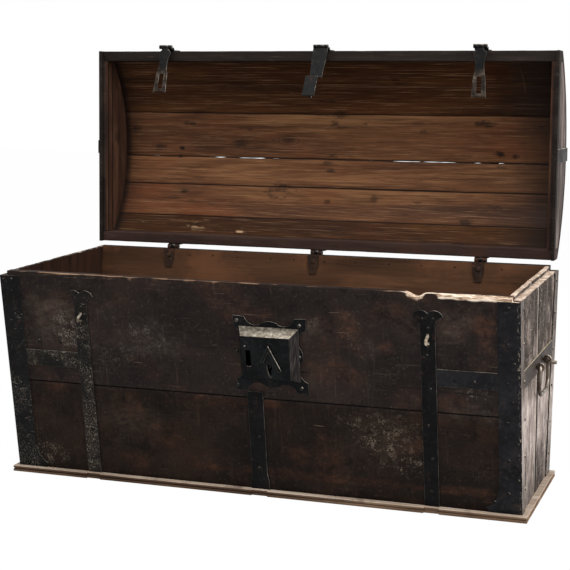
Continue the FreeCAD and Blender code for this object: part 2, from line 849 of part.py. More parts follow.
def handle_eyes(label, side):
    """Two split shanks through the end boards: each has a ring outside and a rove inside."""
    inner = s.bail_rod / 2 + s.eye_clearance
    outer = inner + s.eye_rod
    half = s.eye_rod / 2
    chamfer = half / 2
    shapes = []
    for part in (-1, 1):
        centre = Vector(side * (end_x + s.eye_standoff), part * s.eye_spacing / 2, eye_height(side))
        ring_points = [
            (inner, -half + chamfer),
            (inner, half - chamfer),
            (inner + chamfer / 2, half),
            (outer - chamfer, half),
            (outer, half - chamfer),
            (outer, -half + chamfer),
            (outer - chamfer, -half),
            (inner + chamfer / 2, -half),
        ]
        face = Part.Face(Part.Wire(polygon([centre + Vector(side * x, y, 0) for x, y in ring_points])))
        ring = face.revolve(centre, Y, 360)
        bore = Part.makeCylinder(inner, s.eye_rod * 2, centre - Y * s.eye_rod, Y)
        rove_x = end_x - s.end_board_thickness - s.rove_thickness
        rove_at = Vector(side * rove_x, centre.y, centre.z)
        rove = Part.makeCylinder(s.rove_radius, s.rove_thickness, rove_at, Vector(side, 0, 0))
        shapes.append(ring.fuse([eye_shank(side, part).cut(bore), rove]))
    return node(solid(label, Part.makeCompound(shapes)))


def handle(label, side):
    """The bail: a bent bar whose turned-in ends sit in the eyes; the right one keeps a tail at the rear."""
    half = (s.bail_width - s.bail_rod) / 2
    x = side * (end_x + s.eye_standoff)
    top = eye_height(side)
    bottom = top - s.bail_drop + s.bail_rod / 2
    neck = half - s.bail_corner - s.eye_clearance
    points = [
        (x, -neck, top),
        (x, -half, top),
        (x, -half, bottom),
        (x, half, bottom),
        (x, half, top),
        (x, neck, top),
    ]
    corners = (s.bail_corner, s.bail_bend, s.bail_bend, s.bail_corner)
    shape = rod(points, s.bail_rod / 2, corners)
    for part in (-1, 1):
        start = Vector(x, part * (half - s.bail_pin), top)
        length = neck - half + s.bail_pin
        shape = shape.fuse(Part.makeCylinder(s.bail_rod / 2, length, start, Vector(0, part, 0)))
    if side > 0:
        start = Vector(x, half, top - s.bail_corner)
        shape = shape.fuse(Part.makeCylinder(s.bail_rod / 2, s.bail_tail, start, X))
    return node(solid(label, shape))


for side, name in ((-1, "left"), (1, "right")):
    handle_eyes("handle_eyes_" + name, side)
    handle("handle_" + name, side)

# Lid, built closed and then swung open about the hinge pins
lid_open = Placement(Vector(), Rotation(X, -s.lid_open_angle), Vector(0, hinge_y, hinge_z))
lid_half = s.top_depth / 2 - s.lid_inset
inner_half = lid_half - s.rail_thickness
arc_rise = s.lid_rise - s.rail_height
inner_radius = (inner_half**2 + arc_rise**2) / 2 / arc_rise
centre_z = s.lid_rise - inner_radius
outer_radius = math.hypot(lid_half, s.rail_height - centre_z)
lid_x = end_x - s.lid_end_inset
lip_x = end_x - s.ledge_width + s.moulding_clearance
rail_top = lid_z + s.rail_height


def on_arc(radius, angle):
    """Y and Z of a point on the lid's vault; the angle leans to the front."""
    return -radius * math.sin(angle), lid_z + centre_z + radius * math.cos(angle)


def vault_slice(inner, outer, front_angles, rear_angles, low_x, high_x):
    """A slice of the vault between two pairs of angles, for its inner and outer radius."""
    corners = {}
    for place, angles in (("front", front_angles), ("rear", rear_angles)):
        for which, radius, angle in (("inner", inner, angles[0]), ("outer", outer, angles[1])):
            corners[place + which] = Vector(low_x, *on_arc(radius, angle))
    edges = [Part.makeLine(corners["frontinner"], corners["frontouter"])]
    for which, radius, column in (("outer", outer, 1), ("inner", inner, 0)):
        middle = (front_angles[column] + rear_angles[column]) / 2
        through_point = Vector(low_x, *on_arc(radius, middle))
        edges.append(Part.Arc(corners["front" + which], through_point, corners["rear" + which]).toShape())
    edges.append(Part.makeLine(corners["rearinner"], corners["rearouter"]))
    wire = Part.Wire(Part.sortEdges(edges)[0])
    return Part.Face(wire).extrude(Vector(high_x - low_x, 0, 0))


spring_angles = (math.asin(inner_half / inner_radius), math.asin(lid_half / outer_radius))
seam_angles = [math.asin(share * inner_half / inner_radius) for share in STAVE_SEAM_SHARES]
half_gap = s.board_gap / 2 / inner_radius
stave_fronts = [spring_angles] + [(angle - half_gap, angle - half_gap) for angle in seam_angles]
stave_rears = [(angle + half_gap, angle + half_gap) for angle in seam_angles]
stave_rears.append(tuple(-angle for angle in spring_angles))
for count, (front_angles, rear_angles) in enumerate(zip(stave_fronts, stave_rears), start=1):
    shape = vault_slice(inner_radius, outer_radius, front_angles, rear_angles, -lid_x, lid_x)
    node(solid("lid_stave_%d" % count, shape, lid_open))


def lip(side):
    """The dust lip let into a lid end, which drops into the body's ledge when the lid is shut."""
    low, high = sorted((side * lip_x, side * lid_x))
    bottom = lid_z - s.moulding_drop
    return block((low, -lid_half, bottom), (high, lid_half, bottom + s.moulding_height))


def lid_rail(label, side):
    """The upright board along the lid's front (-1) or rear (1) edge, notched for both lips."""
    low, high = sorted((side * inner_half, side * lid_half))
    shape = block((-lid_x, low, lid_z), (lid_x, high, rail_top)).cut(lip(-1)).cut(lip(1))
    return node(solid(label, shape, lid_open))


def lid_end_board(label, side):
    """The D-shaped board that closes an end of the vault, rebated for its lip."""
    x = side * (lid_x - s.lid_end_thickness)
    front = Vector(x, -inner_half, rail_top)
    rear = Vector(x, inner_half, rail_top)
    edges = [
        Part.makeLine(Vector(x, -inner_half, lid_z), front),
        Part.Arc(front, Vector(x, 0, lid_z + s.lid_rise), rear).toShape(),
        Part.makeLine(rear, Vector(x, inner_half, lid_z)),
        Part.makeLine(Vector(x, inner_half, lid_z), Vector(x, -inner_half, lid_z)),
    ]
    shape = Part.Face(Part.Wire(edges)).extrude(Vector(side * s.lid_end_thickness, 0, 0))
    return node(solid(label, shape.cut(lip(side)), lid_open))


def lid_end_strap(label, side):
    """A strap up the middle of a lid end and over the crown."""
    half = s.side_strap_width / 2
    outer = side * (lid_x + s.strap_thickness)
    low = lid_z - s.moulding_drop
    crown = lid_z + centre_z + outer_radius + s.strap_thickness
    low_x, high_x = sorted((side * lid_x, outer))
    upright = block((low_x, -half, low), (high_x, half, crown))
    upright = upright.common(
        Part.makeCylinder(
            outer_radius + s.strap_thickness,
            high_x - low_x,
            Vector(low_x, 0, lid_z + centre_z),
            X,
        )
    )
    angle = math.asin(half / outer_radius)
    lap_x = side * (lid_x - s.end_strap_lap)
    low_x, high_x = sorted((lap_x, outer))
    lap = vault_slice(
        outer_radius, outer_radius + s.strap_thickness, (angle, angle), (-angle, -angle), low_x, high_x
    )
    return node(solid(label, upright.fuse(lap).removeSplitter(), lid_open))


lid_rail("lid_front_rail", -1)
lid_rail("lid_rear_rail", 1)
for side, name in ((-1, "left"), (1, "right")):
    lid_end_board("lid_end_board_" + name, side)
    node(solid("lid_end_moulding_" + name, lip(side), lid_open))
    lid_end_strap("lid_end_strap_" + name, side)

# Lid straps: from the hasp's knuckles, over the vault, to the hinge's middle knuckle
hasp_y = -s.top_depth / 2 - s.hasp_standoff
hasp_z = lid_z - s.hasp_axis_drop


def hasp_knuckle_width(name):
    """Width of a hasp's own knuckle."""
    return s.centre_hasp_knuckle if name == "centre" else s.side_hasp_knuckle


def lid_strap(label, name, x, width):
    """One strap over the lid, with two hasp knuckles in front and a hinge knuckle behind."""
    half = width / 2
    thick = s.strap_thickness
    rear_x = hinge_places[name]
    reach = half + abs(rear_x - x)
    strap_radius = outer_radius + thick
    strap_spring = math.asin((lid_half + thick) / strap_radius)
    spring = (spring_angles[1], strap_spring)
    over = vault_slice(
        outer_radius, strap_radius, spring, (-spring[0], -spring[1]), x - reach, x + reach
    )
    lane = [(x, -lid_half - 2 * thick), (x, -lid_half), (rear_x, lid_half), (rear_x, lid_half + 2 * thick)]
    corners = [Vector(place - half, y, lid_z) for place, y in lane]
    corners += [Vector(place + half, y, lid_z) for place, y in reversed(lane)]
    course = Part.Face(Part.makePolygon(corners + corners[:1]))
    over = over.common(course.extrude(Vector(0, 0, 2 * s.lid_rise)))
    shoulder = on_arc(strap_radius, strap_spring)[1]
    leaf_y = -s.top_depth / 2 - s.crank_clearance
    step = lid_z + s.lid_gap
    front_points = [
        (-lid_half, rail_top),
        (-lid_half - thick, shoulder),
        (-lid_half - thick, step + 2 * thick),
        (leaf_y - thick, step + thick),
        (leaf_y - thick, hasp_z),
        (leaf_y, hasp_z),
        (leaf_y, step),
        (-lid_half, step + thick / 2),
    ]
    front = section(front_points, x - half, x + half)
    own = hasp_knuckle_width(name) / 2 + s.side_clearance
    ring = knuckle(hasp_y, hasp_z, s.hasp_knuckle_radius, 0, x - half, x + half)
    front = front.fuse(ring)
    clear = s.hasp_knuckle_radius + s.knuckle_clearance
    front = front.cut(
        block((x - own, hasp_y - clear, hasp_z - clear), (x + own, -lid_half - s.board_gap, hasp_z + clear))
    )
    bore = s.hasp_pin_radius + s.running_clearance
    front = front.cut(knuckle(hasp_y, hasp_z, bore, 0, x - half, x + half))
    rear_low = hinge_z + s.knuckle_radius + s.knuckle_clearance
    rear_points = [
        (lid_half, rail_top),
        (lid_half + thick, shoulder),
        (lid_half + thick, rear_low),
        (lid_half, rear_low),
    ]
    rear = section(rear_points, rear_x - half, rear_x + half)
    own = s.lid_knuckle_width / 2
    tongue = block((rear_x - own, lid_half, hinge_z), (rear_x + own, lid_half + thick, rear_low))
    middle = knuckle(hinge_y, hinge_z, s.knuckle_radius, 0, rear_x - own, rear_x + own)
    bore = s.hinge_pin_radius + s.running_clearance
    middle = middle.fuse(tongue).cut(knuckle(hinge_y, hinge_z, bore, 0, rear_x - own, rear_x + own))
    shape = over.fuse([front, rear, middle]).removeSplitter()
    return node(solid(label, shape, lid_open))


for name, (x, width) in strap_places.items():
    lid_strap("lid_strap_" + name, name, x, width)

# Hasps, built shut and then swung to the tilt at which they hang, on pins carried by the lid
open_pin = lid_open.multVec(Vector(0, hasp_y, hasp_z))
pin_shift = open_pin - Vector(0, hasp_y, hasp_z)
latched_distance = (rim_z - hasp_z) / math.cos(lean)


def hanging(tilt):
    """Placement of a hasp on the open lid, swung forward by an angle from its latched place."""
    swing = Placement(Vector(), Rotation(X, -tilt), Vector(0, hasp_y, hasp_z))
    return Placement(pin_shift, Rotation()) * swing


def hasp_pin(name, x, width):
    """The pin through a hasp's knuckles."""
    half = width / 2
    pin = Part.makeCylinder(s.hasp_pin_radius, width, Vector(x - half, hasp_y, hasp_z), X)
    return node(solid("hasp_pin_" + name, pin, Placement(pin_shift, Rotation())))


def hasp_ring(name, x, shape):
    """A hasp's plate joined to its knuckle and bored for the pin."""
    own = hasp_knuckle_width(name) / 2
    bore = s.hasp_pin_radius + s.running_clearance
    ring = knuckle(hasp_y, hasp_z, s.hasp_knuckle_radius, 0, x - own, x + own)
    return shape.fuse(ring).cut(knuckle(hasp_y, hasp_z, bore, 0, x - own, x + own)).removeSplitter()


def side_hasp(name, x, tilt):
    """A slotted hasp: narrow at the knuckle, waisted, and flared to a fishtail end."""
    neck = hasp_knuckle_width(name) / 2
    waist = s.side_hasp_waist / 2
    wide = s.side_hasp_width / 2
    clear = s.hasp_knuckle_radius + 2 * s.knuckle_clearance
    centre = s.staple_drop - latched_distance
    slot_half = s.staple_height / 2 + s.hasp_slot_play
    tip = centre + slot_half + s.side_hasp_frame
    half_top = s.side_strap_width / 2
    shoulder = clear + half_top - neck
    middle = (shoulder + centre - slot_half) / 2
    edges = [
        Part.makeLine(Vector(-neck, 0, 0), Vector(neck, 0, 0)),
        Part.makeLine(Vector(neck, 0, 0), Vector(neck, -clear, 0)),
        Part.makeLine(Vector(neck, -clear, 0), Vector(half_top, -shoulder, 0)),
        arc((half_top, -shoulder, 0), (waist, -middle, 0), (wide * 0.85, -centre + slot_half, 0)),
        Part.makeLine(Vector(wide * 0.85, -centre + slot_half, 0), Vector(wide, -tip, 0)),
        arc((wide, -tip, 0), (0, -tip + s.side_hasp_frame / 3, 0), (-wide, -tip, 0)),
        Part.makeLine(Vector(-wide, -tip, 0), Vector(-wide * 0.85, -centre + slot_half, 0)),
        arc((-wide * 0.85, -centre + slot_half, 0), (-waist, -middle, 0), (-half_top, -shoulder, 0)),
        Part.makeLine(Vector(-half_top, -shoulder, 0), Vector(-neck, -clear, 0)),
        Part.makeLine(Vector(-neck, -clear, 0), Vector(-neck, 0, 0)),
    ]
    shape = plate(edges, s.hasp_thickness)
    half = s.hasp_slot_width / 2
    opening = block((-half, -centre - slot_half, 0), (half, -centre + slot_half, s.hasp_thickness))
    shape = shape.cut(opening)
    shape.translate(Vector(0, 0, -s.hasp_thickness / 2))
    turn = Rotation(X, 90 + math.degrees(lean))
    shape.Placement = Placement(Vector(x, hasp_y, hasp_z), turn) * shape.Placement
    shape = hasp_ring(name, x, shape)
    return node(solid("hasp_" + name, shape, hanging(tilt + math.degrees(lean))))


def on_front(drop, standoff):
    """Y and Z of a point on the front, a distance down the slope and off the wall."""
    at = front_face(standoff).multVec(Vector(0, -drop, 0))
    return at.y, at.z


def strip(centre_line, thickness, low_x, high_x):
    """A bent plate of even thickness along points in Y and Z."""
    half = thickness / 2
    line = [Vector(0, *point) for point in centre_line]
    runs = [(b - a).normalize() for a, b in zip(line, line[1:])]
    offsets = [X.cross(run) * half for run in runs]
    sides = [offsets[0]]
    for before, after in zip(offsets, offsets[1:]):
        middle = (before + after).normalize()
        sides.append(middle * (half / math.cos(before.getAngle(after) / 2)))
    sides.append(offsets[-1])
    there = [point + side for point, side in zip(line, sides)]
    back = [point - side for point, side in zip(line, sides)]
    return section([(point.y, point.z) for point in there + back[::-1]], low_x, high_x)


def centre_hasp(tilt):
    """The lock's hasp: down the wall, out over the case and down its face, with a catch behind."""
    x = slot_x
    half = s.centre_hasp_width / 2
    half_top = s.centre_hasp_top / 2
    neck = hasp_knuckle_width("centre") / 2
    middle = s.hasp_thickness / 2
    case_top = s.case_drop - s.case_bevel
    rest = s.plate_thickness + s.centre_hasp_lift + middle
    face = case_front + s.centre_hasp_lift + middle
    rise = (face - rest) * s.case_bevel / s.case_reach
    upper = case_top - s.hasp_thickness - s.centre_hasp_lift
    end = s.catch_drop + s.catch_height / 2 + s.catch_margin
    places = [
        (hasp_y, hasp_z),
        on_front(upper, rest),
        on_front(upper + rise, face),
        on_front(end, face + s.centre_hasp_flare),
    ]
    shape = strip(places, s.hasp_thickness, x - half_top, x + half_top)
    taper_low = places[1][1]
    taper_high = hasp_z - 2 * s.hasp_knuckle_radius - half_top
    clear = s.hasp_knuckle_radius + 2 * s.knuckle_clearance
    deep = face + s.top_depth
    for side in (-1, 1):
        taper = [
            (x + side * half_top, taper_high),
            (x + side * half, taper_low),
            (x + side * half, places[3][1] - face),
            (x + side * half_top, places[3][1] - face),
        ]
        edges = polygon([(along, -deep, height) for along, height in taper])
        shape = shape.cut(Part.Face(Part.Wire(edges)).extrude(Vector(0, deep, 0)))
        low, high = sorted((x + side * neck, x + side * half_top))
        corner = block((low, hasp_y - clear, hasp_z - clear), (high, hasp_y + clear, hasp_z + clear))
        shape = shape.cut(corner)
    catch_half = (s.catch_height - s.catch_rod) / 2
    bend = catch_half * 0.98
    reach = s.plate_thickness + s.bolt_depth - bend
    ends = face + s.centre_hasp_flare
    path = [(0, catch_half, ends), (0, catch_half, reach), (0, -catch_half, reach), (0, -catch_half, ends)]
    catch = rod(path, s.catch_rod / 2, (bend, bend))
    catch.translate(Vector(x, -s.catch_drop, 0))
    catch.Placement = front_face() * catch.Placement
    shape = hasp_ring("centre", x, shape.fuse(catch))
    return node(solid("hasp_centre", shape, hanging(tilt)))


for name, (x, width) in strap_places.items():
    hasp_pin(name, x, width)
side_hasp("left", strap_places["left"][0], s.left_hasp_tilt)
centre_hasp(s.centre_hasp_tilt)
side_hasp("right", strap_places["right"][0], s.right_hasp_tilt)

# Check and export
doc.recompute()
for made in doc.Objects:
    if "Invalid" in made.State or "Error" in made.State:
        raise RuntimeError("%s did not recompute: %s" % (made.Label, made.State))
for made in nodes:
    if made.Shape.isNull() or not made.Shape.isValid():
        raise RuntimeError("%s has no valid shape" % made.Label)
os.makedirs("parts", exist_ok=True)
for made in nodes:
    made.Shape.exportStep("parts/%s.step" % made.Label)
print("%d sub-parts written" % len(nodes))
print("hinge axis y %.2f z %.2f" % (hinge_y, hinge_z))
print("hasp axis at rest y %.3f z %.3f" % (open_pin.y, open_pin.z))
print("lean %.3f degrees, eyes at z %.2f and %.2f" % (math.degrees(lean), eye_height(-1), eye_height(1)))
back_on_front = front_face().inverse().multVec(Vector(0, hasp_y, hasp_z))
print("hasp axis latched: %.3f down the front, %.3f off it" % (-back_on_front.y, back_on_front.z))
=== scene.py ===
import math

import bmesh
import bpy
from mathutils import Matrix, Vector, noise


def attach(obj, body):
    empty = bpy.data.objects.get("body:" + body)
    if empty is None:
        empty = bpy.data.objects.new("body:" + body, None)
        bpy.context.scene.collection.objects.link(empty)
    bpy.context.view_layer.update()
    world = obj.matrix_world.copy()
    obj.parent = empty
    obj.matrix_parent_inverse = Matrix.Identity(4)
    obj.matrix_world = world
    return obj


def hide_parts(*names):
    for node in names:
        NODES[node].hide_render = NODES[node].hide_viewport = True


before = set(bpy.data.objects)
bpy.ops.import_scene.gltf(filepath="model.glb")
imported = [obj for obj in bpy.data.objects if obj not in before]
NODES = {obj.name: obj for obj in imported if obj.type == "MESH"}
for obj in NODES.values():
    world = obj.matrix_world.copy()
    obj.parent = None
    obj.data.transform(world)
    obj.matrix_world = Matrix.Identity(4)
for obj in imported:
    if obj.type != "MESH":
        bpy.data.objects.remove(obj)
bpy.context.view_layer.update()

# Millimetres throughout; a mesh is scaled to metres when it is made.
MM = 0.001
# The front and back walls go out 81 while they rise 519.
WALL_OUT, WALL_RISE = 81, 519
LEAN = math.atan(WALL_OUT / WALL_RISE)
SIN, COS = math.sin(LEAN), math.cos(LEAN)
RIM, RIM_HALF = 534.0, 272
FOOT, FOOT_HALF = 15, 191
BOARD, END_BOARD = 25, 28
# The joint between the upper and the lower board of a wall.
JOINT = 249.3
# The walls' ends are cut down by the one, and the end boards in by the other, for the lid's dust lips.
LEDGE, LIP = 12.0, 18
END = 650.0
HINGE = (274.0, 538.0)
OPEN = math.radians(91.7)
LID_Z = 534.5
# The axis of the lid's vault lies this far below the lid's rim.
VAULT_DROP = 243.7
STRAPS = {"left": -436.0, "centre": 12.0, "right": 440.0}


# Places

def front(x, down, off=0.0):
    """A point of the front wall: down from the rim along the wall, and off its outer face."""
    return Vector((x, -RIM_HALF + down * SIN - off * COS, RIM - down * COS - off * SIN))


def back(x, down, off=0.0):
    p = front(x, down, off)
    return Vector((p.x, -p.y, p.z))


def lid(x, y, z):
    """A point of the shut lid, where it is with the lid open."""
    y, z = y - HINGE[0], z - HINGE[1]
    c, s = math.cos(OPEN), math.sin(OPEN)
    return Vector((x, HINGE[0] + y * c + z * s, HINGE[1] - y * s + z * c))


def noise_place(a, b, c, scale):
    return Vector((a * scale + 0.37, b * scale + 7.1, c * scale + 3.3))


def rnd(a, b=0.0, c=0.0, scale=1.0):
    return noise.noise(noise_place(a, b, c, scale))


def rough(a, b, c, scale):
    return noise.fractal(noise_place(a, b, c, scale), 0.9, 2.0, 4)


def smooth(x, low, high):
    t = min(1.0, max(0.0, (x - low) / (high - low)))
    return t * t * (3 - 2 * t)


def bell(x, centre, width):
    return math.exp(-(((x - centre) / width) ** 2))


# Meshes

def finish_piece(obj, body, material, replaced=(), seed=0.0, tone=0.0, worn=None):
    """Give a new piece its attributes, material and body, and hide the nodes that it stands for."""
    mesh = obj.data
    count = len(mesh.vertices)
    for key, numbers in (("seed", [seed] * count), ("tone", [tone] * count), ("worn", worn or [0.0] * count)):
        layer = mesh.attributes.new(key, "FLOAT", "POINT")
        layer.data.foreach_set("value", numbers)
    mesh.materials.clear()
    mesh.materials.append(material)
    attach(obj, body)
    if replaced:
        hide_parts(*replaced)


def new_object(name, verts, faces, smooth_angle):
    mesh = bpy.data.meshes.new(name)
    mesh.from_pydata([tuple(v * MM) for v in verts], [], faces)
    mesh.validate()
    mesh.update()
    bm = bmesh.new()
    bm.from_mesh(mesh)
    bmesh.ops.recalc_face_normals(bm, faces=bm.faces)
    bm.to_mesh(mesh)
    bm.free()
    obj = bpy.data.objects.new(name, mesh)
    bpy.context.scene.collection.objects.link(obj)
    mesh.shade_smooth()
    mesh.set_sharp_from_angle(angle=math.radians(smooth_angle))
    return obj


def loft(name, rings, smooth_angle=35):
    """A closed tube through rings of the same number of points, with flat ends."""
    size = len(rings[0])
    verts = [p for ring in rings for p in ring]
    faces = []
    for i in range(len(rings) - 1):
        for j in range(size):
            k = (j + 1) % size
            faces.append((i * size + j, i * size + k, (i + 1) * size + k, (i + 1) * size + j))
    faces.append(tuple(range(size)))
    last = (len(rings) - 1) * size
    faces.append(tuple(range(last + size - 1, last - 1, -1)))
    return new_object(name, verts, faces, smooth_angle)


def profile(corners, counts, radius):
    """Points round a polygon with rounded corners; counts are the steps along each side."""
    points = []
    total = len(corners)
    for i in range(total):
        before, here, after, beyond = (Vector(corners[(i + k) % total]) for k in (-1, 0, 1, 2))
        inward, outward = (before - here).normalized(), (after - here).normalized()
        cut = min(radius, (before - here).length * 0.45, (after - here).length * 0.45)
        first, last = here + inward * cut, here + outward * cut
        for step in range(4):
            t = step / 3
            points.append(first * (1 - t) ** 2 + here * 2 * t * (1 - t) + last * t * t)
        end_cut = min(radius, (after - here).length * 0.45, (beyond - after).length * 0.45)
        end = after + (here - after).normalized() * end_cut
        for step in range(1, counts[i]):
            points.append(last.lerp(end, step / counts[i]))
    return points


def stations(low, high, step):
    count = max(2, round((high - low) / step))
    return [low + (high - low) * i / count for i in range(count + 1)]


def domes(name, spots, material, seed, flat):
    """Hammered nail heads: spots are (place, normal, radius)."""
    verts, faces = [], []
    sides = 9
    for number, (centre, normal, radius) in enumerate(spots):
        normal = Vector(normal).normalized()
        across = normal.cross(Vector((0.31, 0.57, 0.76))).normalized()
        up = normal.cross(across)
        start = len(verts)
        for level, (share, height) in enumerate(((1.0, -0.25), (1.0, 0.12), (0.72, 0.62), (0.3, 0.92))):
            for i in range(sides):
                turn = 2 * math.pi * i / sides + number
                size = radius * share * (1 + 0.16 * rnd(number * 3.1, i * 0.9, seed + level))
                place = centre + across * math.cos(turn) * size + up * math.sin(turn) * size
                verts.append(place + normal * radius * flat * height)
        verts.append(centre + normal * radius * flat)
        for level in range(3):
            for i in range(sides):
                k = (i + 1) % sides
                a, b = start + level * sides, start + (level + 1) * sides
                faces.append((a + i, a + k, b + k, b + i))
        top = start + 3 * sides
        for i in range(sides):
            faces.append((top + i, top + (i + 1) % sides, start + 4 * sides))
        faces.append(tuple(start + sides - 1 - i for i in range(sides)))
    finish_piece(new_object(name, verts, faces, 60), "chest", material, seed=seed)


def tube(name, points, radius, sides, uneven, seed):
    """A forged bar of a radius along points."""
    size = len(points)
    rings = []
    up = Vector((1, 0, 0))
    for i, p in enumerate(points):
        before, after = points[max(i - 1, 0)], points[min(i + 1, size - 1)]
        along = (after - before).normalized()
        side = along.cross(up)
        if side.length < 0.2:
            side = along.cross(Vector((0, 1, 0)))
        side.normalize()
        if rings and side.dot(last_side) < 0:
            side = -side
        last_side = side
        other = along.cross(side).normalized()
        ring = []
        for k in range(sides):
            turn = 2 * math.pi * k / sides
            here = radius * (1 + uneven * rnd(p.x * 0.09 + k * 0.8, p.z * 0.09, seed))
            ring.append(p + side * math.cos(turn) * here + other * math.sin(turn) * here)
        rings.append(ring)
    return loft(name, rings, 60)


def bend(points, radius, count=6):
    """Corner points rounded to a radius."""
    result = [points[0]]
    for before, here, after in zip(points, points[1:], points[2:]):
        inward, outward = (before - here).normalized(), (after - here).normalized()
        angle = inward.angle(outward)
        shortest = min((before - here).length * 0.49, (after - here).length * 0.49)
        reach = min(radius / math.tan(angle / 2), shortest)
        first, last = here + inward * reach, here + outward * reach
        real = reach * math.tan(angle / 2)
        middle = (inward + outward).normalized()
        centre = here + middle * (real / math.sin(angle / 2))
        a, b = first - centre, last - centre
        for step in range(count + 1):
            result.append(centre + a.slerp(b, step / count))
    result.append(points[-1])
    return result


def dress(name, material, width=0.6, segments=2, rim=None, flat=True):
    """A CAD node kept in sight: welded, its edges rounded, and its own material, with one for its rim.

    A closed ring is not flattened, because a flat ring of faces would be merged into one that fills it.
    """
    obj = NODES[name]
    obj.data.materials.clear()
    obj.data.materials.append(material)
    if rim:
        obj.data.materials.append(rim)
    weld = obj.modifiers.new("weld", "WELD")
    weld.merge_threshold = 1e-5
    if flat:
        merge = obj.modifiers.new("flat", "DECIMATE")
        merge.decimate_type = "DISSOLVE"
        merge.angle_limit = math.radians(0.8)
    if width:
        edge = obj.modifiers.new("edge", "BEVEL")
        edge.width = width * MM
        edge.segments = segments
        edge.limit_method = "ANGLE"
        edge.angle_limit = math.radians(32)
        edge.use_clamp_overlap = True
        edge.material = 1 if rim else -1


# Materials

def wire(tree, kind, inputs=(), **settings):
    """A new node of a tree, with values or links at some of its inputs."""
    node = tree.nodes.new("ShaderNode" + kind)
    for key, value in settings.items():
        setattr(node, key, value)
    for key, value in dict(inputs).items():
        if isinstance(value, bpy.types.NodeSocket):
            tree.links.new(value, node.inputs[key])
        else:
            node.inputs[key].default_value = value
    return node


def linear(r, g, b):
    """A screen colour from 0 to 255, as the renderer's linear light."""
    parts = (c / 255 / 12.92 if c <= 10 else ((c / 255 + 0.055) / 1.055) ** 2.4 for c in (r, g, b))
    return (*parts, 1.0)


